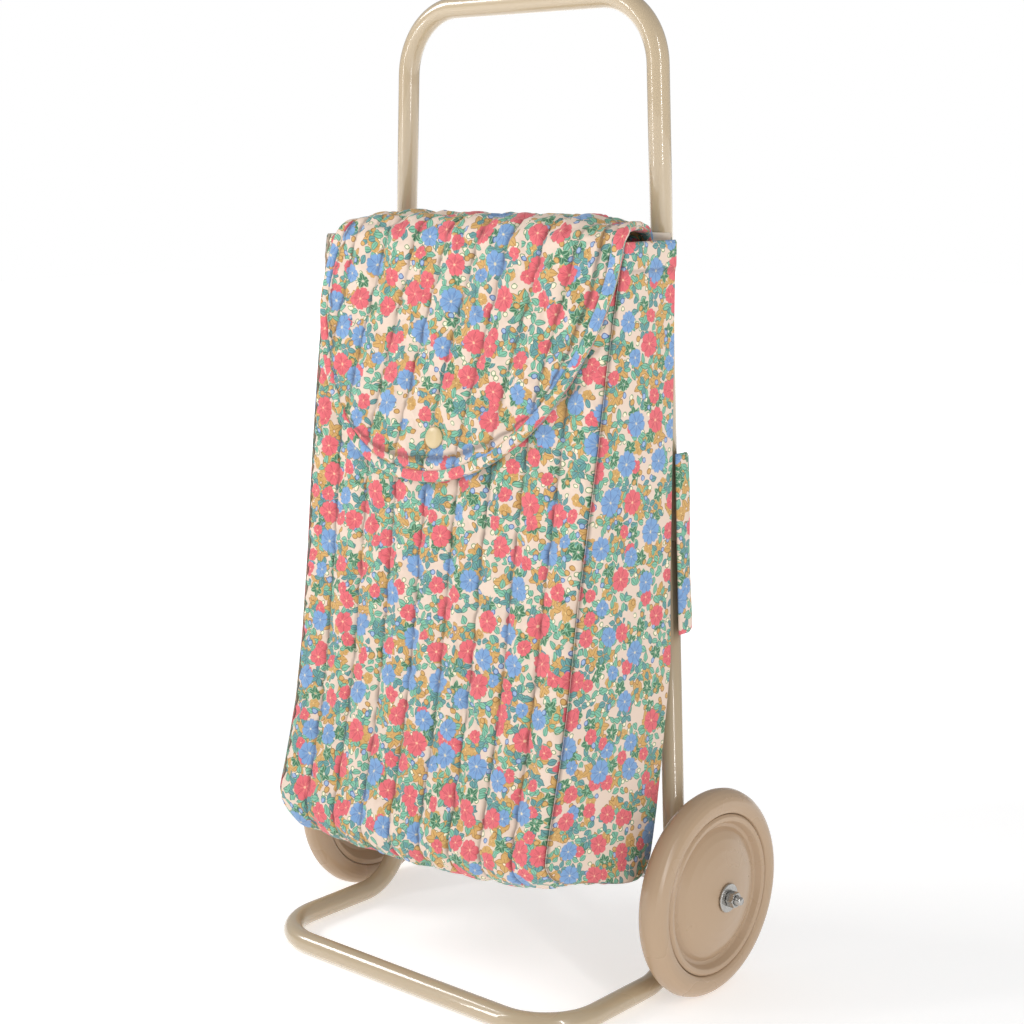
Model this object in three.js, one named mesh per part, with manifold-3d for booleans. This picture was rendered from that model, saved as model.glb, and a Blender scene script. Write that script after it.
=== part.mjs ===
// A child's play shopping trolley: a bent-tube frame on two wheels, with a quilted bag hung in front.
// Millimetres. +Z is up, the front is -Y, and X runs along the axle.
// The origin is on the floor, under the middle of the trolley's bounding box.
import * as THREE from 'three';
import { mergeVertices } from 'three/addons/utils/BufferGeometryUtils.js';
import Module from 'manifold-3d';

const wasm = await Module();
wasm.setup();

// ---- driving dimensions ----
const GAP = 0.3; // clearance between pieces that touch

const TUBE_R = 6.25; // frame tube, 12.5 mm outside
const TUBE_BORE_R = 5.25;
const TUBE_SIDES = 16;
const BORE_SIDES = 12;
const HEIGHT = 560; // floor to the top of the handle
const HANDLE_HALF = 91.5; // half the spacing of the uprights at the handle
const FOOT_HALF = 112.8; // the same at the floor
const FOOT_REACH = 110.7; // from the uprights' plane forward to the foot's front bar
const HANDLE_BEND = 38.7;
const HEEL_BEND = 30;
const FOOT_BEND = 35.4;
const BEND_STEPS = 7;

const JOINT_Z = 258; // where the handle tube meets the lower tube
const SLEEVE_R = 4.75;
const SLEEVE_BORE_R = 3.75;
const SLEEVE_REACH = 30; // into each tube
const SCREW_R = 1.9;
const SCREW_DROP = 15; // screw below the joint

const WHEEL_R = 59.6;
const FLAT_R = TUBE_R * Math.cos(Math.PI / TUBE_SIDES); // centre of a tube to one of its flats
const UPRIGHT_Y = (FOOT_REACH + FLAT_R - WHEEL_R) / 2; // uprights' plane, which centres the whole on y = 0
const WHEEL_X = 134.2; // middle of the wheel's width
const TYRE_HALF = 8.4; // half the tyre's width
const RIM_R = 46; // where the tyre meets the disc
const DISH_R = 38.5; // edge of the disc's dome
const DOME_EDGE = 4.7; // outer face of the dome's edge, out from the middle of the wheel
const DOME_RISE = 8.4; // and how much further out the hub is
const WEB_T = 2.8; // thickness of the dome
const HUB_R = 9;
const HUB_INNER = 8; // inner end of the hub, in from the middle of the wheel
const AXLE_R = 2.5;
const AXLE_HALF = 157;
const HUB_BORE_R = AXLE_R + GAP;
const WASHER_R = 8.2;
const WASHER_T = 1.4;
const NUT_FLATS = 8;
const NUT_T = 4.6;
const INNER_NUT_T = 4;
const ROUND = 40; // sides of the wheels
const SMALL_ROUND = 20; // sides of the small round parts

const BAG_HALF = 112; // half the bag's width
const QUILT_T = 3; // quilted panels
const GUSSET_T = 1.6;
const LINING_T = 0.8;
const BOARD_T = 2.5;
const MOUTH_Z = 424;
const BAG_BACK = UPRIGHT_Y - TUBE_R - GAP;
const BAG_BOTTOM = 74;
const BAG_FRONT_TOP = [-24, MOUTH_Z];
const BAG_FRONT_LOW = [-82.5, BAG_BOTTOM];
const BAG_BACK_LOW = [1, BAG_BOTTOM];
const BAG_BACK_BREAK = [20.6, 190];
const BAG_BACK_TOP = [BAG_BACK, MOUTH_Z + 3.6];
const FRONT_CORNER_R = 12;
const BACK_CORNER_R = 16;

const FLAP_T = 3.6;
const FLAP_HINGE = [17, 428.7]; // y and z of the seam that the flap lifts about
const FLAP_FOLD = [-26.8, 428.7]; // y and z of the fold at the mouth's front edge
const FLAP_LEAN = (BAG_FRONT_TOP[0] - BAG_FRONT_LOW[0]) / (MOUTH_Z - BAG_BOTTOM); // mm forward for each mm down
const FLAP_DROP = 138; // from the fold to the lowest point, along the panel
const FLAP_MIDDLE = -14; // the flap hangs askew, with its lowest point here
const FLAP_LEFT = { reach: 88, power: 2.5 };
const FLAP_RIGHT = { reach: 124, power: 1.9 };
const FLAP_BACK_HALF = 92;
const BINDING_W = 6;
const BINDING_T = 1.6;

const STRAP_Z = [207, 308];
const STRAP_T = 2.2;
const STRAP_LOOP_R = 10.2; // inside radius of the band round the tube
const STRAP_TAIL = 34; // flat end that lies on the back panel
const TAPE_T = 1.2; // hook strip and loop strip
const TAPE_W = 24;

const SNAP_Z = 314;
const SNAP_X = -2;

// ---- colours and finishes ----
const finish = (color, roughness, metalness = 0) => ({ color, roughness, metalness });
const COAT = finish(0xc5b292, 0.35);
const PLASTIC = finish(0xcdb096, 0.45);
const ZINC = finish(0xc9c9c6, 0.3, 1);
const PRINT = finish(0xe6c9bd, 0.85);
const PRINT_EDGE = finish(0x8fb3a6, 0.85);
const LINEN = finish(0xf0e4d6, 0.9);
const BOARD = finish(0xb9a27e, 0.8);
const TAPE = finish(0xe9dfce, 0.95);
const CAP = finish(0xd9c49a, 0.4);

const trolley = new THREE.Group();

function add(name, geometry, look) {
  const mesh = new THREE.Mesh(geometry, new THREE.MeshStandardMaterial(look));
  mesh.name = name;
  trolley.add(mesh);
  return mesh;
}

// ---- solids ----
function toSolid(geometry) {
  const bare = geometry.clone();
  bare.deleteAttribute('normal');
  bare.deleteAttribute('uv');
  const merged = mergeVertices(bare, 1e-4);
  return new wasm.Manifold(new wasm.Mesh({
    numProp: 3,
    vertProperties: new Float32Array(merged.attributes.position.array),
    triVerts: new Uint32Array(merged.index.array),
  }));
}

function toGeometry(solid) {
  const { vertProperties, triVerts } = solid.getMesh();
  const geometry = new THREE.BufferGeometry();
  geometry.setAttribute('position', new THREE.BufferAttribute(vertProperties, 3));
  geometry.setIndex(new THREE.BufferAttribute(triVerts, 1));
  geometry.computeVertexNormals();
  return geometry;
}

function cut(geometry, ...tools) {
  return toGeometry(tools.reduce((left, tool) => left.subtract(toSolid(tool)), toSolid(geometry)));
}

// A ring or rod turned about the X axis: profile points are [radius, distance along the axis].
function turned(profile, sides, x = 0) {
  let points = profile.map(([r, a]) => new THREE.Vector2(r, a));
  const closed = profile.some(([r]) => r < 1e-6) ? points : [...points, points[0].clone()];
  if (THREE.ShapeUtils.area(points) < 0) closed.reverse();
  points = closed;
  return new THREE.LatheGeometry(points, sides).rotateZ(-Math.PI / 2).translate(x, 0, 0);
}

// Rectangular section: a washer, sleeve or rod between two radii.
const sleeve = (inner, outer, x0, x1, sides) =>
  turned([[inner, x0], [outer, x0], [outer, x1], [inner, x1]], sides);
const rod = (radius, x0, x1, sides) =>
  turned([[0, x0], [radius, x0], [radius, x1], [0, x1]], sides);

function outlineShape(points) {
  return new THREE.Shape(points.map(([a, b]) => new THREE.Vector2(a, b)));
}

// A [y, z] outline extruded along X.
function slab(points, x0, x1) {
  const alongX = new THREE.Matrix4().makeBasis(
    new THREE.Vector3(0, 1, 0), new THREE.Vector3(0, 0, 1), new THREE.Vector3(1, 0, 0));
  return new THREE.ExtrudeGeometry(outlineShape(points), { depth: x1 - x0, bevelEnabled: false })
    .applyMatrix4(alongX).translate(x0, 0, 0);
}

// ---- outlines ----
// Rounds the middle points of a polyline; radii has one value for each of them. Works in 2-D and 3-D,
// and returns points with the direction of travel at each.
function filleted(corners, radii, steps) {
  const vectors = corners.map((c) => new THREE.Vector3(...c, ...(c.length === 2 ? [0] : [])));
  const heading = (i) => vectors[i + 1].clone().sub(vectors[i]).normalize();
  const route = [{ point: vectors[0], tangent: heading(0) }];
  radii.forEach((radius, i) => {
    const [into, away] = [heading(i), heading(i + 1)];
    const turn = into.angleTo(away);
    const start = vectors[i + 1].clone().addScaledVector(into, -radius * Math.tan(turn / 2));
    const inward = away.clone().addScaledVector(into, -away.dot(into)).normalize();
    for (let k = 0; k <= steps; k++) {
      const angle = (turn * k) / steps;
      const point = start.clone().addScaledVector(into, radius * Math.sin(angle))
        .addScaledVector(inward, radius * (1 - Math.cos(angle)));
      const tangent = into.clone().multiplyScalar(Math.cos(angle)).addScaledVector(inward, Math.sin(angle));
      route.push({ point, tangent });
    }
  });
  route.push({ point: vectors.at(-1), tangent: heading(vectors.length - 2) });
  return route;
}

// A closed [y, z] outline of a wall that follows a route and lies to one side of it.
function wall(route, near, far) {
  const offset = (distance) => route.map(({ point, tangent }) =>
    [point.x - tangent.y * distance, point.y + tangent.x * distance]);
  return [...offset(near), ...offset(far).reverse()];
}

// ---- tubes ----
// A curve that keeps its own stations, so a straight run is one step and a bend is several.
// The section's frame is carried along from the middle station, which makes both ends alike.
class TubeRoute extends THREE.Curve {
  constructor(route, normal) {
    super();
    this.route = route;
    this.normal = new THREE.Vector3(...normal);
  }

  getPoint(t) {
    const at = t * (this.route.length - 1);
    const i = Math.min(Math.floor(at), this.route.length - 2);
    return this.route[i].point.clone().lerp(this.route[i + 1].point, at - i);
  }

  getSpacedPoints() {
    return this.route.map(({ point }) => point.clone());
  }

  computeFrenetFrames() {
    const tangents = this.route.map(({ tangent }) => tangent.clone());
    const normals = [];
    const middle = Math.floor(tangents.length / 2);
    const carry = (from, to) => {
      const turn = new THREE.Quaternion().setFromUnitVectors(tangents[from], tangents[to]);
      normals[to] = normals[from].clone().applyQuaternion(turn);
    };
    normals[middle] = this.normal.clone();
    for (let i = middle + 1; i < tangents.length; i++) carry(i - 1, i);
    for (let i = middle - 1; i >= 0; i--) carry(i + 1, i);
    const binormals = tangents.map((tangent, i) => tangent.clone().cross(normals[i]));
    return { tangents, normals, binormals };
  }
}

function polygon(radius, sides) {
  return Array.from({ length: sides }, (_, i) => {
    const angle = ((i + 0.5) * 2 * Math.PI) / sides;
    return new THREE.Vector2(radius * Math.cos(angle), radius * Math.sin(angle));
  });
}

function tube(route, normal, outer, bore, sides = TUBE_SIDES) {
  const section = new THREE.Shape(polygon(outer, sides));
  section.holes.push(new THREE.Path(polygon(bore, BORE_SIDES)));
  return new THREE.ExtrudeGeometry(section, {
    steps: route.length - 1,
    extrudePath: new TubeRoute(route, normal),
    bevelEnabled: false,
  });
}

// ---- frame ----
const HANDLE_Z = HEIGHT - FLAT_R;
const TAPER = (FOOT_HALF - HANDLE_HALF) / HANDLE_Z;
const uprightX = (z) => FOOT_HALF - TAPER * z;
const onUpright = (side, z) => [side * uprightX(z), UPRIGHT_Y, z];

function handleTube() {
  const z = JOINT_Z + GAP;
  const route = filleted(
    [onUpright(-1, z), onUpright(-1, HANDLE_Z), onUpright(1, HANDLE_Z), onUpright(1, z)],
    [HANDLE_BEND, HANDLE_BEND], BEND_STEPS);
  return tube(route, [0, 0, 1], TUBE_R, TUBE_BORE_R);
}

// Tools that drill across a tube: one along X for the axle, one along Y for the joint screw.
const axleDrill = () => rod(HUB_BORE_R, -AXLE_HALF, AXLE_HALF, BORE_SIDES).translate(0, UPRIGHT_Y, WHEEL_R);

function screwPlace(side) {
  const z = JOINT_Z - SCREW_DROP;
  return new THREE.Matrix4().makeRotationZ(Math.PI / 2).setPosition(...onUpright(side, z));
}

const screwDrill = (side) => rod(SCREW_R + GAP, 0, 2 * TUBE_R, BORE_SIDES).applyMatrix4(screwPlace(side));

function lowerFrameTube() {
  const front = UPRIGHT_Y - FOOT_REACH;
  const route = filleted(
    [
      onUpright(-1, JOINT_Z),
      [-FOOT_HALF, UPRIGHT_Y, FLAT_R], [-FOOT_HALF, front, FLAT_R],
      [FOOT_HALF, front, FLAT_R], [FOOT_HALF, UPRIGHT_Y, FLAT_R],
      onUpright(1, JOINT_Z),
    ],
    [HEEL_BEND, FOOT_BEND, FOOT_BEND, HEEL_BEND], BEND_STEPS);
  return cut(tube(route, [0, 0, 1], TUBE_R, TUBE_BORE_R), axleDrill(), screwDrill(-1), screwDrill(1));
}

function jointSleeve(side) {
  const ends = [JOINT_Z - SLEEVE_REACH, JOINT_Z + SLEEVE_REACH].map((z) => new THREE.Vector3(...onUpright(side, z)));
  const tangent = ends[1].clone().sub(ends[0]).normalize();
  const route = ends.map((point) => ({ point, tangent }));
  return cut(tube(route, [0, 1, 0], SLEEVE_R, SLEEVE_BORE_R, BORE_SIDES), screwDrill(side));
}

// Pan-head screw from behind, through the tube's rear wall into the sleeve.
function jointScrew(side) {
  const head = 3.6;
  const seat = TUBE_R + GAP;
  const profile = [
    [0, SLEEVE_BORE_R - 2], [SCREW_R, SLEEVE_BORE_R - 2], [SCREW_R, seat], [head, seat],
    [head, seat + 1.1], [head * 0.75, seat + 2], [0, seat + 2.4],
  ];
  return turned(profile, SMALL_ROUND).applyMatrix4(screwPlace(side));
}

add('handle_tube', handleTube(), COAT);
add('lower_frame_tube', lowerFrameTube(), COAT);
for (const [name, side] of [['left', -1], ['right', 1]]) {
  add(`${name}_joint_sleeve`, jointSleeve(side), ZINC);
  add(`${name}_joint_screw`, jointScrew(side), ZINC);
}

// ---- axle and wheels ----
// Everything here is turned about the axle at x > 0, and the left side is the same turned half round.
function tyreProfile() {
  const bead = TYRE_HALF - 1.2;
  const half = [
    [RIM_R + GAP, 0], [RIM_R + GAP, bead - 0.8], [RIM_R + 1.4, bead], [RIM_R + 5, TYRE_HALF],
    [WHEEL_R - 6.4, TYRE_HALF - 1], [WHEEL_R - 3.2, TYRE_HALF - 2.8], [WHEEL_R - 0.9, TYRE_HALF - 5.4],
    [WHEEL_R, 0],
  ];
  const other = half.slice(1, -1).map(([r, a]) => [r, -a]).reverse();
  return [...half, ...other];
}

// The disc is a thin dome, hollow on the inner side, with a hub through its middle.
const domeFace = (r) => DOME_EDGE + DOME_RISE * (1 - (r / DISH_R) ** 2);

function discProfile() {
  const lip = TYRE_HALF - 1.8;
  const radii = [HUB_R, 18, 27, 34, DISH_R];
  const outer = radii.map((r) => [r, domeFace(r)]);
  const inner = radii.map((r) => [r, domeFace(r) - WEB_T]).reverse();
  return [
    [HUB_BORE_R, domeFace(HUB_R)], ...outer, [RIM_R - 4, lip - 0.9], [RIM_R - 2, lip], [RIM_R, lip],
    [RIM_R, -lip], [RIM_R - 3, -lip], ...inner, [HUB_R, -HUB_INNER], [HUB_BORE_R, -HUB_INNER],
  ];
}

// Hexagon nut on the axle, from x0 outwards.
function hexNut(x0, thickness) {
  const shape = new THREE.Shape(polygon(NUT_FLATS / 2 / Math.cos(Math.PI / 6), 6));
  shape.holes.push(new THREE.Path(polygon(HUB_BORE_R, SMALL_ROUND)));
  return new THREE.ExtrudeGeometry(shape, { depth: thickness, bevelEnabled: false })
    .rotateY(Math.PI / 2).translate(x0, 0, 0);
}

const wheelEnd = WHEEL_X + domeFace(HUB_R);
const uprightOut = uprightX(WHEEL_R) + TUBE_R + GAP;
const uprightIn = uprightX(WHEEL_R) - TUBE_R - GAP;

const axleGroup = new THREE.Group();
axleGroup.position.set(0, UPRIGHT_Y, WHEEL_R);
trolley.add(axleGroup);

function addOnAxle(name, geometry, look) {
  axleGroup.add(add(name, geometry, look));
}

addOnAxle('axle', rod(AXLE_R, -AXLE_HALF, AXLE_HALF, SMALL_ROUND), ZINC);
for (const [name, turn] of [['left', Math.PI], ['right', 0]]) {
  const place = (geometry) => geometry.rotateZ(turn);
  addOnAxle(`${name}_tyre`, place(turned(tyreProfile(), ROUND, WHEEL_X)), PLASTIC);
  addOnAxle(`${name}_wheel_disc`, place(turned(discProfile(), ROUND, WHEEL_X)), PLASTIC);
  addOnAxle(`${name}_inner_nut`, place(hexNut(uprightIn - INNER_NUT_T, INNER_NUT_T)), ZINC);
  addOnAxle(`${name}_spacer`,
    place(sleeve(HUB_BORE_R, 5.5, uprightOut, WHEEL_X - HUB_INNER - GAP, SMALL_ROUND)), PLASTIC);
  addOnAxle(`${name}_washer`,
    place(sleeve(HUB_BORE_R, WASHER_R, wheelEnd + GAP, wheelEnd + GAP + WASHER_T, SMALL_ROUND)), ZINC);
  addOnAxle(`${name}_axle_nut`, place(hexNut(wheelEnd + 2 * GAP + WASHER_T, NUT_T)), ZINC);
}

// ---- bag ----
// The outer [y, z] line of front, base and back, walked from the mouth's front edge round to its back edge.
const bagRoute = filleted(
  [BAG_FRONT_TOP, BAG_FRONT_LOW, BAG_BACK_LOW, BAG_BACK_BREAK, BAG_BACK_TOP],
  [FRONT_CORNER_R, BACK_CORNER_R, 60], 4);
const frontRoute = bagRoute.slice(0, 6);
const baseRoute = bagRoute.slice(5, 7);
const backRoute = bagRoute.slice(6);
const panelHalf = BAG_HALF - GUSSET_T - GAP;

function shortened(route, atStart, atEnd) {
  const moved = route.map(({ point, tangent }) => ({ point: point.clone(), tangent }));
  moved[0].point.addScaledVector(moved[0].tangent, atStart);
  moved.at(-1).point.addScaledVector(moved.at(-1).tangent, -atEnd);
  return moved;
}

const panel = (route, thickness = QUILT_T) => slab(wall(route, 0, thickness), -panelHalf, panelHalf);

// The gusset's top edge runs level with the mouth.
function gussetOutline() {
  const points = bagRoute.map(({ point }) => [point.x, point.y]);
  points[points.length - 1] = [BAG_BACK, MOUTH_Z];
  return points;
}

// The lining is an open bag inside the panels: one prism with a smaller one cut out through its top.
function liningBag() {
  const inside = (distance, top) => {
    const points = bagRoute.map(({ point, tangent }) =>
      [point.x - tangent.y * distance, point.y + tangent.x * distance]);
    points[0][1] = top;
    points[points.length - 1][1] = top;
    return points;
  };
  const outer = panelHalf - GAP;
  const body = slab(inside(QUILT_T + GAP, MOUTH_Z - 1), -outer, outer);
  const room = slab(inside(QUILT_T + GAP + LINING_T, MOUTH_Z + 9), LINING_T - outer, outer - LINING_T);
  return cut(body, room);
}

const boardZ = BAG_BOTTOM + QUILT_T + LINING_T + 2 * GAP;
const boardFront = BAG_FRONT_LOW[0] + 15;
const boardBack = BAG_BACK_LOW[0] - 17;

function baseBoard() {
  const half = panelHalf - 3;
  return new THREE.BoxGeometry(2 * half, boardBack - boardFront, BOARD_T)
    .translate(0, (boardFront + boardBack) / 2, boardZ + BOARD_T / 2);
}

// A small round part set square on the front panel's slope; distance is out from the panel's outer face.
const slopeAngle = Math.atan(FLAP_LEAN);
const frontY = (z) => BAG_FRONT_TOP[0] - FLAP_LEAN * (MOUTH_Z - z);

function onFront(geometry, x, z) {
  const facing = new THREE.Matrix4().makeRotationX(-slopeAngle)
    .multiply(new THREE.Matrix4().makeRotationZ(-Math.PI / 2));
  return geometry.applyMatrix4(facing).translate(x, frontY(z), z);
}

// Snap stud in the front panel, clenched to a post whose flange lies inside the lining.
const STUD_HOLE_R = 3.2;
const postFlange = -(QUILT_T + LINING_T + 2 * GAP);

function punched(geometry) {
  return cut(geometry, onFront(rod(STUD_HOLE_R, -8, 6, BORE_SIDES), SNAP_X, SNAP_Z));
}

function snapPost() {
  return onFront(turned(
    [[0, postFlange - 0.8], [5, postFlange - 0.8], [5, postFlange], [1.6, postFlange], [1.6, 0.6], [0, 0.6]],
    SMALL_ROUND), SNAP_X, SNAP_Z);
}

function snapStud() {
  return onFront(turned(
    [[1.9, 0.2], [5, 0.2], [5, 0.7], [2.6, 0.7], [2.8, 1.6], [1.9, 1.6]], SMALL_ROUND), SNAP_X, SNAP_Z);
}

add('front_panel', punched(panel(shortened(frontRoute, 0, GAP / 2))), PRINT);
add('base_panel', panel(shortened(baseRoute, GAP / 2, GAP / 2)), PRINT);
add('back_panel', panel(shortened(backRoute, GAP / 2, 0)), PRINT);
add('left_gusset', slab(gussetOutline(), -BAG_HALF, GUSSET_T - BAG_HALF), PRINT);
add('right_gusset', slab(gussetOutline(), BAG_HALF - GUSSET_T, BAG_HALF), PRINT);
add('lining', punched(liningBag()), LINEN);
add('base_board', baseBoard(), BOARD);
add('snap_post', snapPost(), ZINC);
add('snap_stud', snapStud(), ZINC);

// ---- flap ----
// Distance out to the flap's edge on one side, at a distance down from the fold: a superellipse.
const reachAt = ({ reach, power }, down) => reach * (1 - (down / FLAP_DROP) ** power) ** (1 / power);

// [x, distance down] round the free edge from the fold's left end to its right end, drawn in by a margin.
function flapEdge(margin) {
  const steps = 12;
  const side = (shape, sign) => Array.from({ length: steps + 1 }, (_, i) => {
    const down = FLAP_DROP * Math.sin((i * Math.PI) / 2 / steps);
    const shrink = (shape.reach - margin) / shape.reach;
    const drop = (down * (FLAP_DROP - margin)) / FLAP_DROP;
    return [FLAP_MIDDLE + sign * reachAt(shape, down) * shrink, drop];
  });
  return [...side(FLAP_LEFT, -1), ...side(FLAP_RIGHT, 1).reverse().slice(1)];
}

// Lays an [x, down] outline on the front slope; from and to are distances out from the fold line.
function onSlope(points, from, to) {
  const shape = outlineShape(points.map(([x, down]) => [x, -down - GAP]));
  return new THREE.ExtrudeGeometry(shape, { depth: to - from, bevelEnabled: false })
    .translate(0, 0, from).rotateX(Math.PI / 2 - slopeAngle).translate(0, ...FLAP_FOLD);
}

// The binding is a band along the free edge, wrapped over the flap's outer face.
function flapBinding() {
  const outer = flapEdge(0);
  const inner = flapEdge(BINDING_W).reverse();
  return onSlope([...outer, ...inner], FLAP_T + GAP, FLAP_T + GAP + BINDING_T);
}

const foldLeft = FLAP_MIDDLE - FLAP_LEFT.reach;
const foldRight = FLAP_MIDDLE + FLAP_RIGHT.reach;

function flapBridge() {
  const [back, front] = [FLAP_HINGE[0] - GAP, FLAP_FOLD[0] + GAP];
  const plan = [[-FLAP_BACK_HALF, back], [foldLeft, front], [foldRight, front], [FLAP_BACK_HALF, back]];
  return new THREE.ExtrudeGeometry(outlineShape(plan), { depth: FLAP_T, bevelEnabled: false })
    .translate(0, 0, FLAP_HINGE[1]);
}

// A strip along one side of the bridge, continuing the binding back to the seam.
function bridgeBinding(side, foldX) {
  const [back, front] = [FLAP_HINGE[0] - GAP, FLAP_FOLD[0] + GAP];
  const backX = side * FLAP_BACK_HALF;
  const plan = [[backX, back], [foldX, front], [foldX - side * BINDING_W, front], [backX - side * BINDING_W, back]];
  return new THREE.ExtrudeGeometry(outlineShape(plan), { depth: BINDING_T, bevelEnabled: false })
    .translate(0, 0, FLAP_HINGE[1] + FLAP_T + GAP);
}

// Snap cap on the flap's outer face and its socket underneath, over the stud.
const flapFace = (frontY(FLAP_FOLD[1]) - FLAP_FOLD[0]) * Math.cos(slopeAngle);

function snapCap() {
  const out = flapFace + FLAP_T;
  return onFront(turned(
    [[0, flapFace + 0.9], [1.5, flapFace + 0.9], [1.5, out + GAP], [6.2, out + GAP], [6.2, out + 0.9],
      [5, out + 1.7], [0, out + 2.1]], SMALL_ROUND), SNAP_X, SNAP_Z);
}

function snapSocket() {
  return onFront(turned(
    [[3.1, 1], [4.8, 1], [5.6, flapFace - GAP], [3.1, flapFace - GAP]], SMALL_ROUND), SNAP_X, SNAP_Z);
}

const capHole = () => onFront(rod(1.5 + GAP, flapFace - 2, flapFace + FLAP_T + 2, BORE_SIDES), SNAP_X, SNAP_Z);

add('flap_bridge', flapBridge(), PRINT);
add('left_bridge_binding', bridgeBinding(-1, foldLeft), PRINT_EDGE);
add('right_bridge_binding', bridgeBinding(1, foldRight), PRINT_EDGE);
add('flap_front', cut(onSlope(flapEdge(0), 0, FLAP_T), capHole()), PRINT);
add('flap_binding', flapBinding(), PRINT_EDGE);
add('snap_cap', snapCap(), CAP);
add('snap_socket', snapSocket(), ZINC);

// ---- bands round the uprights ----
// Each band is sewn to the back panel outside the tube, goes round the tube and lies flat on the
// back panel again, where the hook strip on its end grips a loop strip.
const strapMiddleZ = (STRAP_Z[0] + STRAP_Z[1]) / 2;

function strapPlan(side) {
  const r = STRAP_LOOP_R + STRAP_T / 2;
  const tailY = BAG_BACK + 2 * TAPE_T + 3 * GAP + STRAP_T / 2;
  const x = uprightX(strapMiddleZ);
  const route = filleted(
    [[x + r, BAG_BACK + GAP], [x + r, UPRIGHT_Y + r], [x - r, UPRIGHT_Y + r],
      [x - r, tailY], [x - r - STRAP_TAIL, tailY]],
    [r * 0.98, r * 0.98, 2.5], 5);
  return wall(route, -STRAP_T / 2, STRAP_T / 2).map(([px, py]) => [side * px, py]);
}

// Stands an [x, y] plan up between two heights and leans it with the uprights.
function standing(plan, side, z0, z1) {
  const lean = new THREE.Matrix4().set(
    1, 0, -side * TAPER, side * TAPER * strapMiddleZ,
    0, 1, 0, 0,
    0, 0, 1, 0,
    0, 0, 0, 1);
  return new THREE.ExtrudeGeometry(outlineShape(plan), { depth: z1 - z0, bevelEnabled: false })
    .translate(0, 0, z0).applyMatrix4(lean);
}

function tapePlan(side, y0) {
  const x1 = uprightX(strapMiddleZ) - STRAP_LOOP_R - STRAP_T - 6;
  const x0 = x1 - TAPE_W;
  return [[side * x0, y0], [side * x1, y0], [side * x1, y0 + TAPE_T], [side * x0, y0 + TAPE_T]];
}

for (const [name, side] of [['left', -1], ['right', 1]]) {
  const [z0, z1] = STRAP_Z;
  add(`${name}_band`, standing(strapPlan(side), side, z0, z1), PRINT);
  add(`${name}_loop_strip`, standing(tapePlan(side, BAG_BACK + GAP), side, z0 + 4, z1 - 4), TAPE);
  add(`${name}_hook_strip`,
    standing(tapePlan(side, BAG_BACK + TAPE_T + 2 * GAP), side, z0 + 4, z1 - 4), TAPE);
}

export default trolley;
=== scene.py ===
"""Looks for a child's play shopping trolley: a bent-tube frame, two wheels and a quilted floral bag.

Laid out as an add-on, and run as a script. Sizes in the shape functions are millimetres, in the
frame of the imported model: +Z up, the front at -Y, X along the axle.
"""

import math

import bmesh
import bpy
import numpy as np
from bpy.props import FloatProperty, FloatVectorProperty, IntProperty, PointerProperty
from mathutils import Matrix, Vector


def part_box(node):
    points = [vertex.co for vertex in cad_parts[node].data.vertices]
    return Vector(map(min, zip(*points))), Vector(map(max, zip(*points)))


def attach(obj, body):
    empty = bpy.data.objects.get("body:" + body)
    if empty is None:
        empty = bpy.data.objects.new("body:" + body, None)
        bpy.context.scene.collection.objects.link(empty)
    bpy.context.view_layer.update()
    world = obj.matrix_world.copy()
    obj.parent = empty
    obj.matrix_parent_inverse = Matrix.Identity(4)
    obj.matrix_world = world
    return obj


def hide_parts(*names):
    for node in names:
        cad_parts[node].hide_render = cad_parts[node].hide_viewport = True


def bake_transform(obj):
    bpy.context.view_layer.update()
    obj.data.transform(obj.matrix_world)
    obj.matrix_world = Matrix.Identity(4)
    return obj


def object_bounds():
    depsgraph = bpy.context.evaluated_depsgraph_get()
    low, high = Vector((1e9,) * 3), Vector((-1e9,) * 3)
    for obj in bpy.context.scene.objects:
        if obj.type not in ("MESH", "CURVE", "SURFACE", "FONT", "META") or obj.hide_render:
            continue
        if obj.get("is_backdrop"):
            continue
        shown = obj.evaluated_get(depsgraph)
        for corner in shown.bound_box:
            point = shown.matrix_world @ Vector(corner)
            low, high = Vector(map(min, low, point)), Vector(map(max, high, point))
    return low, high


bl_info = {
    "name": "Play shopping trolley",
    "version": (1, 0, 0),
    "blender": (4, 5, 0),
    "location": "View3D > Sidebar > Trolley",
    "description": "Builds the finishes of a play shopping trolley round its packed frame",
    "category": "Add Mesh",
}

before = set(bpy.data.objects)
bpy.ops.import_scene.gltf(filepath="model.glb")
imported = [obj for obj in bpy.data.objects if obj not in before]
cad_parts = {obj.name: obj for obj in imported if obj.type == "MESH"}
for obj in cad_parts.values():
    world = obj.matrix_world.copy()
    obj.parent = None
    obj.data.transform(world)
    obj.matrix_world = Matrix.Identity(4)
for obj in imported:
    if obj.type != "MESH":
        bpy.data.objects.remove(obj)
MM = 0.001
SIDES = (("left", -1), ("right", 1))

# ---- sizes of the frame, in millimetres ----
TUBE_R = 6.25
FLAT_R = TUBE_R * math.cos(math.pi / 16)
HEIGHT = 560.0
HANDLE_HALF, FOOT_HALF = 91.5, 112.8
FOOT_REACH = 110.7
JOINT_Z = 258.0
HANDLE_Z = HEIGHT - FLAT_R
TAPER = (FOOT_HALF - HANDLE_HALF) / HANDLE_Z
WHEEL_R, WHEEL_X = 59.6, 134.2
UPRIGHT_Y = (FOOT_REACH + FLAT_R - WHEEL_R) / 2
DISH_R, DOME_EDGE, DOME_RISE, DOME_T, HUB_R = 38.5, 4.7, 8.4, 2.8, 9.0
AXLE_R, AXLE_END, THREADED, BORE_R = 2.5, 157.0, 16.0, 2.8

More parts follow.
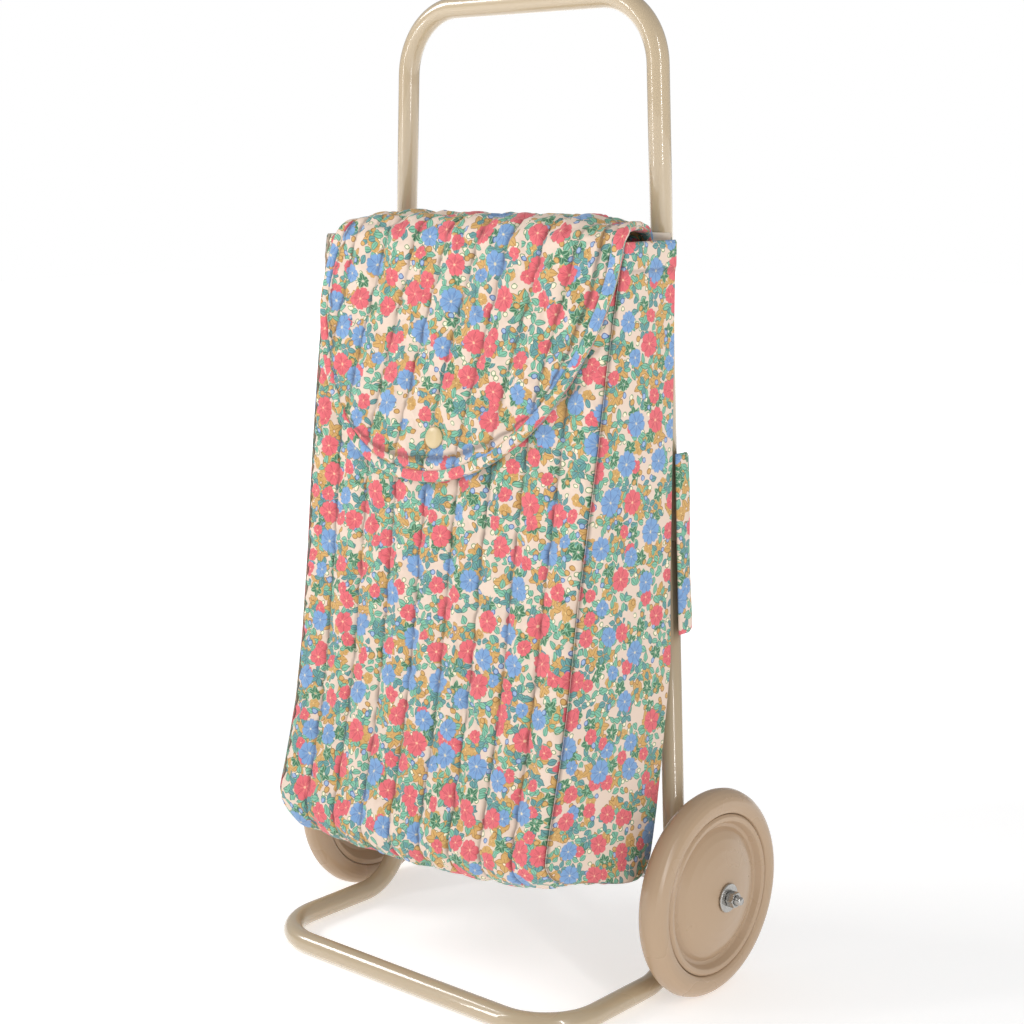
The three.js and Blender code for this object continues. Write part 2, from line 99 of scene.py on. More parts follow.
# ---- sizes of the bag ----
BAG_HALF, PANEL_HALF = 112.0, 110.1
MOUTH_Z, BAG_BOTTOM = 424.0, 74.0
BAG_BACK = UPRIGHT_Y - TUBE_R - 0.3
MOUTH_FRONT, FRONT_LEAN = -24.0, 0.1671  # the mouth's front edge, and the front's lean for its drop
HEM_Z = MOUTH_Z - 15.5
GUSSET_OUT, GUSSET_IN = 111.9, 110.4
BAG_CORNERS = [(MOUTH_FRONT, MOUTH_Z), (-82.5, BAG_BOTTOM), (1, BAG_BOTTOM), (20.6, 190),
               (BAG_BACK, MOUTH_Z + 3.6)]
CORNER_RADII = [20, 16, 60]
QUILT_T = 3.0
FLAP_T = 3.4
FLAP_CORNER = np.array([-28.3, 430.5])  # y and z of the flap's fold, in the middle of its thickness
FLAP_DOWN = np.array([-0.1648, -0.9863])
FLAP_DROP, FLAP_MIDDLE = 138.0, -14.0
FLAP_SIDES = {-1: (88.0, 2.5), 1: (124.0, 1.9)}  # reach and roundness of each half
FLAP_BACK_HALF, FLAP_BACK_S = 92.0, -45.3
FLAP_EDGE_W, FLAP_EDGE_T = 6.4, 5.0
FLAP_PITCH = 23.5
FLAP_SLANT, FLAP_SHIFT = 0.205, 6.0  # how the flap's stitch lines lean, and where the first one lies
FLAP_WAIST = 14.0  # how much the left edge draws in towards the fold
FLAP_CUT_S = -26.0  # the flap's two pieces meet here, between its hinge and its fold
SNAP = (-2.0, 118.1)  # across and down the flap


# ================= shapes =================
def unit(v):
    """Vectors divided by their own length."""
    return v / np.maximum(np.linalg.norm(v, axis=-1, keepdims=True), 1e-12)


def rounded(corners, radii, steps=8):
    """A polyline with rounded corners: an arc starts radius * tan(turn / 2) before its corner and
    goes along the old heading by radius * sin and inwards by radius * (1 - cos)."""
    corners = np.asarray(corners, float)
    route = [corners[:1]]
    for i, radius in enumerate(radii):
        into, away = unit(corners[i + 1] - corners[i]), unit(corners[i + 2] - corners[i + 1])
        turn = math.acos(np.clip(into @ away, -1, 1))
        inward = unit(away - into * (into @ away))
        angle = np.linspace(0, turn, steps + 1)[:, None]
        start = corners[i + 1] - into * radius * math.tan(turn / 2)
        route.append(start + radius * (into * np.sin(angle) + inward * (1 - np.cos(angle))))
    route.append(corners[-1:])
    return np.concatenate(route)


def lengths(route):
    """Distance along a polyline at each of its points."""
    return np.concatenate([[0], np.cumsum(np.linalg.norm(np.diff(route, axis=0), axis=1))])


def along(route, at):
    """Points at given distances along a polyline, and the unit headings there."""
    total = lengths(route)
    points = np.stack([np.interp(at, total, route[:, k]) for k in range(route.shape[1])], -1)
    return points, unit(np.gradient(points, axis=0))


def quads(rows, columns, wrap_rows=False, wrap_columns=False):
    """Faces of a grid, which may join up in either direction."""
    i = np.arange(rows if wrap_rows else rows - 1)[:, None]
    j = np.arange(columns if wrap_columns else columns - 1)[None, :]
    corner = lambda a, b: ((i + a) % rows) * columns + (j + b) % columns
    return np.stack([corner(0, 0), corner(1, 0), corner(1, 1), corner(0, 1)], -1).reshape(-1, 4)


def shell(outer, inner):
    """A closed sheet: an outer grid, an inner one turned over, and a strip round their borders."""
    rows, columns = outer.shape[:2]
    count = rows * columns
    index = np.arange(count).reshape(rows, columns)
    ring = np.concatenate([index[0], index[1:, -1], index[-1, -2::-1], index[-2:0:-1, 0]])
    after = np.roll(ring, -1)
    top = quads(rows, columns)
    edge = np.stack([ring, after, after + count, ring + count], -1)
    faces = np.concatenate([top, (top + count)[:, ::-1], edge])
    points = np.concatenate([outer.reshape(-1, 3), inner.reshape(-1, 3)])
    kind = np.concatenate([np.zeros(len(top), int), np.ones(len(top), int), np.zeros(len(edge), int)])
    return points, faces, kind


def outward(points, faces):
    """Faces turned so that a closed shape's volume is positive."""
    a, b, c, d = (points[faces[:, k]] for k in range(4))
    volume = (a * np.cross(b, c)).sum() + (a * np.cross(c, d)).sum()
    return faces if volume > 0 else faces[:, ::-1]


def put_mesh(name, points, faces, materials, uv=None, kind=None, weld=True, groove=None):
    """A mesh object from points in millimetres; equal points are merged and shading is smooth. groove is
    how deep in a stitch line or seam each point lies, from 0 to 1: the cloth's material darkens its colour by
    it, as painted shade in the creases."""
    mesh = bpy.data.meshes.new(name)
    faces = outward(points, faces)
    mesh.from_pydata((points * MM).tolist(), [], faces.tolist())
    for material in materials:
        mesh.materials.append(material)
    if uv is not None:
        layer = mesh.uv_layers.new(name="cloth")
        layer.data.foreach_set("uv", (uv[faces.ravel()] * MM).astype(np.float32).ravel())
    if kind is not None:
        mesh.polygons.foreach_set("material_index", kind.astype(np.int32))
    # groove holds how far into a crease each point lies; the cloth's material turns it into painted shade
    if groove is not None:
        depth = mesh.attributes.new("groove", "FLOAT", "POINT")
        depth.data.foreach_set("value", groove.astype(np.float32).ravel())
    if weld:
        form = bmesh.new()
        form.from_mesh(mesh)
        bmesh.ops.remove_doubles(form, verts=form.verts, dist=1e-6)
        form.to_mesh(mesh)
        form.free()
    mesh.shade_smooth()
    obj = bpy.data.objects.new(name, mesh)
    bpy.context.scene.collection.objects.link(obj)
    return obj


def finish_piece(obj, body, slot, *nodes):
    """Says what a piece rides on and which CAD nodes it stands for. The slot, a finish's name, is not used.
    """
    if body:
        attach(obj, body)
    if nodes:
        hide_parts(*nodes)
    return obj


def turned(name, profile, x_side, material, segments=96, radius_at=None):
    """A closed profile of (radius, distance out along X) carried round the axle line. A negative
    side turns it over. radius_at(angle, distance, radius) may change the radius round the turn."""
    profile = np.asarray(profile, float)
    angle = np.linspace(0, 2 * math.pi, segments, endpoint=False)[:, None]
    radius, out = profile[None, :, 0] + 0 * angle, profile[None, :, 1] + 0 * angle
    if radius_at:
        radius = radius_at(angle, out, radius)
    points = np.stack([x_side * out, radius * np.cos(angle), radius * np.sin(angle)], -1)
    points = points + np.array([0, UPRIGHT_Y, WHEEL_R])
    faces = quads(segments, len(profile), wrap_rows=True, wrap_columns=True)
    return put_mesh(name, points.reshape(-1, 3), faces, [material])


def eased(profile, radii, steps=4):
    """A closed profile with its corners rounded, walked from the middle of its last side."""
    profile = np.asarray(profile, float)
    start = (profile[0] + profile[-1]) / 2
    corners = np.concatenate([[start], profile, [start]])
    return rounded(corners, radii, steps)[:-1]


def swept_tube(route, radius, segments=40):
    """A round tube along a route with closed ends: its section's first direction is square to the
    heading, and is carried from point to point by taking the new heading's part away."""
    heading = unit(np.gradient(route, axis=0))
    side = np.empty_like(route)
    side[0] = unit(np.cross(heading[0], [0.0, 1.0, 0.3]))
    for k in range(1, len(route)):
        side[k] = unit(side[k - 1] - heading[k] * (side[k - 1] @ heading[k]))
    other = np.cross(heading, side)
    angle = np.linspace(0, 2 * math.pi, segments, endpoint=False)[None, :, None]
    rings = route[:, None] + radius * (np.cos(angle) * side[:, None] + np.sin(angle) * other[:, None])
    ends = [np.repeat(route[k][None, None], segments, 1) for k in (0, -1)]
    grid = np.concatenate([ends[0], rings, ends[1]])
    return grid.reshape(-1, 3), quads(len(grid), segments, wrap_columns=True)


# ---- how the filled bag hangs ----
HANG_Z = np.array([74, 93, 110, 146, 185, 236, 276, 315, 360, 404, 424.0])
HANG_RIGHT = np.array([-5, -7, -7, -5, -3.5, -4, -2.7, -1.2, -1, 0.5, 0])
HANG_LEFT = np.array([7, 6, 8.5, 12, 12, 9.5, 6.5, 4, 2, 0.4, 0])
HANG_BACK = np.array([3.0, 4.5, 5.0, 3.5, 1.6, 0, 0, 0, 0, 0, 0])
LIFT_X = np.array([-112, -96, -60, -8, 16, 39, 61, 83, 95, 112.0])
LIFT_Z = np.array([1, -5, -6, -4, -1, 0, 2, 5, 8, 13.0])


def hang(points):
    """The bag's droop: points move back or forward by a table of height, mixed from left to right and
    fading towards the uprights, where a third table takes over. The bottom rises or falls by a table
    across, eased from the front back and fading upwards."""
    x, y, z = points[..., 0], points[..., 1], points[..., 2]
    share = np.clip((x + BAG_HALF) / (2 * BAG_HALF), 0, 1)
    low = np.interp(z, HANG_Z, HANG_LEFT)
    high = np.interp(z, HANG_Z, HANG_RIGHT)
    front = MOUTH_FRONT - FRONT_LEAN * (MOUTH_Z - np.minimum(z, MOUTH_Z))
    fade = np.clip((BAG_BACK - y) / (BAG_BACK - front), 0, 1.1)
    moved = points.copy()
    moved[..., 1] += (low + (high - low) * share) * fade + np.interp(z, HANG_Z, HANG_BACK) * (1 - fade)
    ahead = np.clip((-4 - y) / 68, 0, 1)
    ahead = ahead * ahead * (3 - 2 * ahead) * 1.25 - 0.25
    moved[..., 2] += np.interp(x, LIFT_X, LIFT_Z) * ahead * np.clip(1 - (z - BAG_BOTTOM) / 90, 0, 1) ** 1.5
    return moved


def ripple(seed, count, lines, down, spread=(9.0, 26.0)):
    """Small gathers beside a stitch line: a few sine waves along it, with their own wavelength and
    start on every line."""
    rng = np.random.default_rng(seed)
    total = np.zeros(np.broadcast(lines, down).shape)
    for _ in range(count):
        wave = rng.uniform(*spread, 60)[lines % 60]
        start = rng.uniform(0, 2 * math.pi, 60)[lines % 60]
        total += np.sin(2 * math.pi * down / wave + start + 1.3 * np.sin(down / 23.0 + start))
    return total / count


def quilting(across, down, pitch, puff, gather, seed):
    """Height of quilted cloth: channels puff up by a power of the sine between stitch lines, and
    gathers stand beside each line and die away from it."""
    lines = np.round(across / pitch).astype(int)
    offset = across - lines * pitch
    away = np.abs(offset)
    channel = np.abs(np.sin(math.pi * across / pitch)) ** 0.6
    fold = ripple(seed, 3, lines, down + 0.5 * offset) * (away / 3) * np.exp(1 - away / 3)
    swell = 1 + 0.18 * np.sin(down / 37.0 + across / 29.0 + seed)
    return puff * channel * swell + gather * fold


def stitch_shade(across, down, pitch):
    """How much painted shade a point gets in a stitch line's crease: a bell round each line, stronger and
    weaker along it where the gathers open and close it."""
    away = np.abs(across - np.round(across / pitch) * pitch)
    return np.exp(-(away / 1.15) ** 2) * (0.75 + 0.25 * np.sin(down / 2.9 + 2 * np.sin(down / 11.0)))


def edge_round(near, radius):
    """How far a face falls at a distance from its edge, on a quarter circle."""
    t = np.clip(1 - near / radius, 0, 1)
    return radius * (1 - np.sqrt(1 - t * t * 0.98))


def simulated(grid, pin, pressure, grow, frames=14, furthest=5.0):
    """Cloth puffed by pressure from behind: a sheet of the grid, held where pin is 1, lets its threads
    grow by a share and swells for some frames. No point may end further than a limit from its start."""
    rows, columns = grid.shape[:2]
    faces = quads(rows, columns)
    flat = grid.reshape(-1, 3) * MM
    normals = np.cross(flat[faces[:, 1]] - flat[faces[:, 0]], flat[faces[:, 3]] - flat[faces[:, 0]]).sum(0)
    if normals[1] > 0:
        faces = faces[:, ::-1]
    mesh = bpy.data.meshes.new("swelling")
    mesh.from_pydata(flat.tolist(), [], faces.tolist())
    sheet = bpy.data.objects.new("swelling", mesh)
    bpy.context.scene.collection.objects.link(sheet)
    group = sheet.vertex_groups.new(name="held")
    for weight in np.unique(np.round(pin, 1)):
        if weight > 0:
            found = np.nonzero(np.round(pin.ravel(), 1) == weight)[0]
            group.add(found.tolist(), float(weight), "REPLACE")
    cloth = sheet.modifiers.new("cloth", "CLOTH")
    rules = cloth.settings
    rules.quality, rules.mass, rules.bending_stiffness = 6, 0.3, 0.5
    rules.use_pressure, rules.uniform_pressure_force = True, pressure
    rules.shrink_min, rules.vertex_group_mass = -grow, "held"
    rules.effector_weights.gravity = 0
    cloth.point_cache.frame_start, cloth.point_cache.frame_end = 1, frames
    for step in range(1, frames + 1):
        bpy.context.scene.frame_set(step)
    result = sheet.evaluated_get(bpy.context.evaluated_depsgraph_get()).data
    moved = np.empty(len(result.vertices) * 3, np.float32)
    result.vertices.foreach_get("co", moved)
    shift = (moved.reshape(-1, 3).astype(float) - flat) / MM
    far = np.linalg.norm(shift, axis=1, keepdims=True)
    shift *= np.minimum(1, furthest / np.maximum(far, 1e-9))
    bpy.data.objects.remove(sheet)
    bpy.data.meshes.remove(mesh)
    bpy.context.scene.frame_set(1)
    return grid + shift.reshape(grid.shape)


def finer(grid):
    """A grid with a new column between each two, at nine sixteenths of its neighbours less one
    sixteenth of theirs."""
    wide = np.concatenate([2 * grid[:, :1] - grid[:, 1:2], grid, 2 * grid[:, -1:] - grid[:, -2:-1]], 1)
    between = (9 * (wide[:, 1:-2] + wide[:, 2:-1]) - wide[:, :-3] - wide[:, 3:]) / 16
    made = np.empty((grid.shape[0], 2 * grid.shape[1] - 1, *grid.shape[2:]))
    made[:, ::2], made[:, 1::2] = grid, between
    return made


BAG_ROUTE = rounded(BAG_CORNERS, CORNER_RADII, 10)
BAG_LENGTHS = lengths(BAG_ROUTE)
BAG_TURN = 12  # the outline's first point on the base
FRONT_END, BASE_END, BAG_TOTAL = BAG_LENGTHS[BAG_TURN - 1], BAG_LENGTHS[BAG_TURN], BAG_LENGTHS[-1]


def bag_side(at):
    """Y and Z on the bag's outline at a distance from the mouth's front edge, and the outward normal."""
    points, heading = along(BAG_ROUTE, at)
    return points, np.stack([heading[:, 1], -heading[:, 0]], -1)


def bag_depths(z):
    """Y of the bag's front and of its back at a height."""
    front, back = BAG_ROUTE[BAG_TURN - 1::-1], BAG_ROUTE[BAG_TURN:]
    return np.interp(z, front[:, 1], front[:, 0]), np.interp(z, back[:, 1], back[:, 0])


def quilted_panel(name, s0, s1, channels, puff, gather, seed, materials, per_channel, swell):
    """A quilted panel of the bag: a grid of X across and distance along the bag's outline, puffed
    between its stitch lines, rounded down at its seams, with a flat inner face."""
    step = 2 * PANEL_HALF / (channels * per_channel)
    down = np.linspace(s0, s1, int((s1 - s0) / step) + 1)
    across = np.linspace(-PANEL_HALF, PANEL_HALF, channels * per_channel + 1)
    line, normal = bag_side(down)
    s, x = np.meshgrid(down, across, indexing="ij")
    near_side, near_end = PANEL_HALF - np.abs(x), np.minimum(s - s0, s1 - s)
    cross = lambda lift: hang(np.concatenate(
        [x[..., None], line[:, None] + normal[:, None] * lift[..., None]], -1))
    height = quilting(x - PANEL_HALF, s, 2 * PANEL_HALF / channels, puff, gather, seed)
    height = height * np.clip(near_end / 6, 0, 1) * np.clip(near_side / 3, 0, 1)
    outer = cross(height)
    if swell:
        held = (np.arange(len(across)) % per_channel == 0)[None] | (near_end < 1.0)
        outer = simulated(outer, held.astype(float), swell, 0.045)
    outer = outer - (cross(edge_round(near_side, 3.0) + edge_round(near_end, 0.8)) - cross(0 * height))
    inner = cross(np.full_like(x, 0.3 - QUILT_T))
    inner[..., 0] *= (PANEL_HALF - 0.4) / PANEL_HALF
    outer, inner, flat = finer(outer), finer(inner), finer(np.stack([x, -s], -1))
    points, faces, kind = shell(outer, inner)
    uv = np.tile(flat.reshape(-1, 2), (2, 1))
    # Painted shade: darkest in the stitch lines' creases, and at half strength along the seams at the panel's
    # sides
    line_shade = stitch_shade(flat[..., 0] - PANEL_HALF, -flat[..., 1], 2 * PANEL_HALF / channels)
    depth = np.maximum(line_shade, 0.5 * np.exp(-((PANEL_HALF - np.abs(flat[..., 0])) / 0.9) ** 2))
    return put_mesh(name, points, faces, materials, uv, kind, weld=False,
                    groove=np.concatenate([depth.ravel(), 0 * depth.ravel()]))


def gusset(name, side, materials):
    """The bag's end: a grid of height and depth between the outline's front and back lines, with a
    soft bulge, shallow folds, a rounded rim and a hem at the mouth."""
    level = np.concatenate([BAG_BOTTOM + 24 * (1 - np.cos(np.linspace(0, math.pi / 2, 26))),
                            np.linspace(BAG_BOTTOM + 25, MOUTH_Z, 240)])
    y_front, y_back = bag_depths(level)
    t = np.linspace(0, 1, 90)
    share = (0.5 - 0.5 * np.cos(math.pi * t)) * 0.5 + t * 0.5
    z, u = np.meshgrid(level, share, indexing="ij")
    y = y_front[:, None] + (y_back - y_front)[:, None] * u
    near = np.minimum(np.minimum(y - y_front[:, None], y_back[:, None] - y), z - BAG_BOTTOM)
    bulge = 1.5 * np.sin(math.pi * u) * np.clip((MOUTH_Z - z) / 120, 0, 1) ** 0.7
    folds = 0.5 * np.sin(z / 31 + 3.5 * u + side) * np.sin(math.pi * u)
    folds += 0.35 * np.sin(z / 11 - 7 * u + 2 * side) * np.sin(math.pi * u) * np.clip((230 - z) / 150, 0, 1)
    hem = 0.75 / (1 + np.exp(-(z - HEM_Z) / 0.5))
    groove = -0.6 * np.exp(-((z - HEM_Z) / 0.7) ** 2)
    out = GUSSET_OUT + bulge + folds + hem + groove - edge_round(near, 2.2) - edge_round(MOUTH_Z - z, 1.0)
    outer = np.stack([side * out, y, z], -1)
    inner = np.stack([side * np.full_like(y, GUSSET_IN), y, z], -1)
    points, faces, kind = shell(hang(outer), hang(inner))
    uv = np.tile(np.stack([side * (y + 150), z], -1).reshape(-1, 2), (2, 1))
    # Painted shade: dark along the seam round the rounded rim and in the hem's groove
    depth = np.maximum(np.exp(-(near / 1.0) ** 2), 0.8 * np.exp(-((z - HEM_Z) / 0.9) ** 2))
    return put_mesh(name, points, faces, materials, uv, kind, weld=False,
                    groove=np.concatenate([depth.ravel(), 0 * depth.ravel()]))


def pouch(name, material):
    """The lining: rounded loops at each height, from the middle of the floor out, up to the rim, over
    it and down again a little inside."""
    angle = np.linspace(0, 2 * math.pi, 160, endpoint=False)
    power = 0.16
    cx = np.sign(np.cos(angle)) * np.abs(np.cos(angle)) ** power
    cy = np.sign(np.sin(angle)) * np.abs(np.sin(angle)) ** power
    floor, top = BAG_BOTTOM + QUILT_T + 0.6, MOUTH_Z - 1

    def loop(z, inset, grow):
        y0, y1 = bag_depths(max(z, BAG_BOTTOM + 4))
        y0, y1 = y0 + QUILT_T + inset, y1 - QUILT_T - inset
        wave = 0.5 * np.sin(z / 26 + 3 * angle) * min(1, (z - floor) / 60)
        half = 109.2 - inset + wave
        return np.stack([cx * half * grow, (y0 + y1) / 2 + cy * (y1 - y0) / 2 * grow, z + 0 * cx], -1)

    up = np.linspace(floor + 2, top, 60)
    rows = [loop(floor, 0.6, g) for g in (0.0, 0.5, 0.9, 0.985)]
    rows += [loop(z, 0.35, 1) for z in up] + [loop(top + 0.5, 0.7, 1)]
    rows += [loop(z, 1.1, 1) for z in up[::-1]]
    rows += [loop(floor + 0.8, 1.3, g) for g in (0.98, 0.9, 0.5, 0.0)]
    grid = hang(np.array(rows))
    faces = quads(len(rows), len(angle), wrap_columns=True)
    uv = np.stack(np.meshgrid(angle * 55, np.arange(len(rows)) * 5.0), -1).reshape(-1, 2)
    return put_mesh(name, grid.reshape(-1, 3), faces, [material], uv)


def stiffener(name, material):
    """The board in the bag's floor: a flat sheet in the CAD board's box with rounded edges, bent a little
    by the filled bag as its base is."""
    low, high = (np.array(corner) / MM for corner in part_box("base_board"))
    x, y = np.meshgrid(np.linspace(low[0], high[0], 90), np.linspace(low[1], high[1], 24), indexing="ij")
    near = np.minimum(np.minimum(x - low[0], high[0] - x), np.minimum(y - low[1], high[1] - y))
    fall = edge_round(near, 0.8)
    faces_at = [hang(np.stack([x, y, level], -1)) for level in (high[2] - fall, low[2] + 0.4 + fall)]
    points, faces, kind = shell(*faces_at)
    return put_mesh(name, points, faces, [material], None, 0 * kind, weld=False)


# ---- the flap ----
def flap_route(s):
    """Y and Z at a distance past the flap's fold, and the outward normal: level behind the fold, sloping
    in front, joined by a parabola, and turned down into the seam at the back."""
    reach = 9.0
    t = np.clip((s + reach) / (2 * reach), 0, 1)
    bend = (1 - t) ** 2 * -reach, t ** 2 * reach
    level, slope = np.minimum(s, -reach) + reach + bend[0], np.maximum(s, reach) - reach + bend[1]
    y = FLAP_CORNER[0] - level + slope * FLAP_DOWN[0]
    z = FLAP_CORNER[1] + slope * FLAP_DOWN[1]
    hump = np.clip((s - FLAP_BACK_S) / 45, 0, 1)
    z = z + 2.6 * np.sin(math.pi * hump) ** 1.5 * (s < 0)
    z = z - 5.0 * np.clip((FLAP_BACK_S + 9 - s) / 9, 0, 1.6) ** 2
    return y, z


def flap_point(x, s, out):
    """A point of the flap: across, past the fold, and out square to its middle surface. Behind the fold
    it sags over the uprights' lines, so that it clears them when it is lifted."""
    y, z = flap_route(s)
    step = 0.2
    y1, z1 = flap_route(s + step)
    y0, z0 = flap_route(s - step)
    heading = unit(np.stack([y1 - y0, z1 - z0], -1))
    behind = np.clip(-s / 12, 0, 1) * np.clip((s - FLAP_BACK_S) / 9, 0, 1)
    sag = 2.0 * np.exp(-((np.abs(x) - 97) / 14) ** 2) * behind
    points = np.stack([x + 0 * y, y + out * heading[..., 1], z - out * heading[..., 0] - sag], -1)
    return hang(points)


def flap_half(s):
    """Left and right edges of the flap behind its fold, narrowing towards the seam."""
    t = np.clip(s / FLAP_BACK_S, 0, 1)
    left = (FLAP_MIDDLE - FLAP_SIDES[-1][0] + FLAP_WAIST) * (1 - t) - FLAP_BACK_HALF * t
    right = (FLAP_MIDDLE + FLAP_SIDES[1][0]) * (1 - t) + FLAP_BACK_HALF * t
    return left, right


def flap_plan(u, v):
    """Across and down for the part in front of the fold: a square is pulled to half a disc, then out to
    a superellipse with its own reach and roundness on each side."""
    a, b = u * np.sqrt(1 - v * v / 2), v * np.sqrt(1 - u * u / 2)
    r = np.hypot(a, b)
    c, d = np.abs(a) / np.maximum(r, 1e-9), b / np.maximum(r, 1e-9)
    reach = np.where(u < 0, FLAP_SIDES[-1][0], FLAP_SIDES[1][0])
    power = np.where(u < 0, FLAP_SIDES[-1][1], FLAP_SIDES[1][1])
    grow = np.where(r > 1e-9, (c ** power + d ** power + 1e-12) ** (-1 / power), 1)
    down = FLAP_DROP * b * grow
    reach = reach - FLAP_WAIST * (u < 0) * np.clip(1 - down / 55, 0, 1) ** 1.5
    return FLAP_MIDDLE + reach * a * grow, down


def flap_height(x, s):
    """The flap's quilting: slanting channels with strong gathers by the fold, pressed flat at the snap
    and where the lifted flap passes the uprights."""
    slant = x + FLAP_SLANT * s + FLAP_SHIFT
    height = quilting(slant, s, FLAP_PITCH, 2.2, 1.1, 5)
    height += 0.7 * np.sin(slant / 6.1) * np.exp(-((s - 12) / 30) ** 2)
    height *= 1 - 0.85 * np.exp(-((np.abs(x) - 95) / 13) ** 2) * np.clip((26 - s) / 20, 0, 1)
    snap = np.exp(-((x - SNAP[0]) ** 2 + (s - SNAP[1]) ** 2) / 150)
    return height * (1 - snap) - 0.2 * snap


def flap_sheet():
    """The flap's outer and inner faces, its map, the painted shade of its stitch lines and of the crease
    inside its binding, and the row where its two
    pieces part, as one sheet: level rows from the seam to the fold, then the half disc's rows."""
    u = np.linspace(-1, 1, 121)
    cut = 14
    levels = np.concatenate([np.linspace(FLAP_BACK_S - 7, FLAP_CUT_S, cut + 1),
                             np.linspace(FLAP_CUT_S, -1.7, 14)[1:]])
    ss, uu = np.meshgrid(levels, u, indexing="ij")
    left, right = flap_half(ss)
    middle = FLAP_MIDDLE * (1 - np.clip(ss / FLAP_BACK_S, 0, 1))
    xx = np.where(uu < 0, middle + (middle - left) * uu, middle + (right - middle) * uu)
    v = np.linspace(0, 1, 80)
    vv, uf = np.meshgrid(v, u, indexing="ij")
    xf, sf = flap_plan(uf, vv)
    x, s = np.concatenate([xx, xf]), np.concatenate([ss, sf])
    edge = np.concatenate([1 - np.abs(uu), np.minimum(1 - np.abs(uf), 1 - vv)])
    fade = np.clip(edge * 14, 0, 1) ** 0.5
    outer = flap_point(x, s, FLAP_T / 2 + flap_height(x, s) * fade - 0.5 * (1 - fade))
    slant = x + FLAP_SLANT * s + FLAP_SHIFT
    away = np.abs(slant - np.round(slant / FLAP_PITCH) * FLAP_PITCH)
    held = np.clip(1.5 - away / 1.1, 0, 1)
    held = np.maximum(held, (edge < 0.02) | (s < FLAP_BACK_S + 3))
    held = np.maximum(held, np.hypot(x - SNAP[0], s - SNAP[1]) < 9.5)
    outer = simulated(outer, held.astype(float), 4.0, 0.05)
    inner = flap_point(x, s, -FLAP_T / 2 + 0.25 * np.sin(slant / 7.5) + 0.5 * (1 - fade))
    flat = finer(np.stack([x, s], -1))
    # Painted shade: dark in the slanting stitch lines and in the crease just inside the binding
    depth = stitch_shade(flat[..., 0] + FLAP_SLANT * flat[..., 1] + FLAP_SHIFT, flat[..., 1], FLAP_PITCH)
    depth = np.maximum(depth, np.exp(-((finer(edge) * 100 - 5.6) / 1.3) ** 2))
    return finer(outer), finer(inner), flat * [1, -1] + [400, 0], depth, cut


def flap_piece(name, rows, sheet, materials):
    """One of the flap's two pieces: some of the sheet's rows, closed all round."""
    outer, inner, flat, depth = (grid[rows] for grid in sheet)
    points, faces, kind = shell(outer, inner)
    uv = np.tile(flat.reshape(-1, 2), (2, 1))
    return put_mesh(name, points, faces, materials, uv, 0 * kind, weld=False,
                    groove=np.concatenate([depth.ravel(), 0 * depth.ravel()]))


def flap_rim(front, side=1):
    """Across and past-the-fold along the flap's free edge."""
    if not front:
        s = np.linspace(FLAP_BACK_S - 4, FLAP_CUT_S, 30)
        return np.stack([flap_half(s)[(side + 1) // 2], s], -1)
    level = np.linspace(FLAP_CUT_S, -0.5, 16)
    t = np.linspace(0, 1, 80)
    down = np.stack([flap_half(level)[0], level], -1), np.stack([flap_half(level)[1], level], -1)
    left = np.stack(flap_plan(-np.ones_like(t), t), -1)
    low = np.stack(flap_plan(np.linspace(-1, 1, 200), np.ones(200)), -1)
    right = np.stack(flap_plan(np.ones_like(t), t), -1)
    return np.concatenate([down[0], left, low[1:-1], right[::-1], down[1][::-1]])


def binding(name, rim, inward_sign, materials, step=1.3):
    """A bias strip folded over the flap's edge: a flattened ring, a superellipse, carried along the
    edge with its middle a little inside it. Small gathers swell it in turn."""
    width, thick = FLAP_EDGE_W, FLAP_EDGE_T
    at = np.linspace(0, lengths(rim)[-1], int(lengths(rim)[-1] / step))
    line, heading = along(rim, at)
    inward = inward_sign * np.stack([-heading[:, 1], heading[:, 0]], -1)
    inward = unit(np.array([np.convolve(np.pad(inward[:, k], 4, mode="edge"), np.ones(9) / 9, "valid")
                            for k in (0, 1)]).T)
    angle = np.linspace(0, 2 * math.pi, 28, endpoint=False)
    c, d = (np.sign(f) * np.abs(f) ** 0.6 for f in (np.cos(angle), np.sin(angle)))
    middle = line + inward * (width / 2 - 0.5)
    across = middle[:, None] + inward[:, None] * (c * width / 2)[None, :, None]
    swell = 1 + 0.05 * np.sin(at / 3.1) * np.sin(at / 17.0)
    out = (d * thick / 2)[None, :] * swell[:, None] + 0.35
    grid = flap_point(across[..., 0], across[..., 1], out)
    ends = [np.repeat(grid[k].mean(0)[None, None], len(angle), 1) for k in (0, -1)]
    grid = np.concatenate([ends[0], grid, ends[1]])
    girth = angle / (2 * math.pi) * 2 * (width + thick)
    run = np.concatenate([[at[0]], at, [at[-1]]])
    uv = np.stack(np.meshgrid(girth, run + 260), -1).reshape(-1, 2)
    faces = quads(len(grid), len(angle), wrap_columns=True)
    return put_mesh(name, grid.reshape(-1, 3), faces, materials, uv)


# ---- bands ----
def upright_x(z):
    """Half the spacing of the uprights at a height."""
    return FOOT_HALF - TAPER * z


BAND_Z0, BAND_Z1, BAND_T, BAND_LOOP_R, BAND_TAIL = 207.0, 308.0, 2.2, 10.2, 34.0


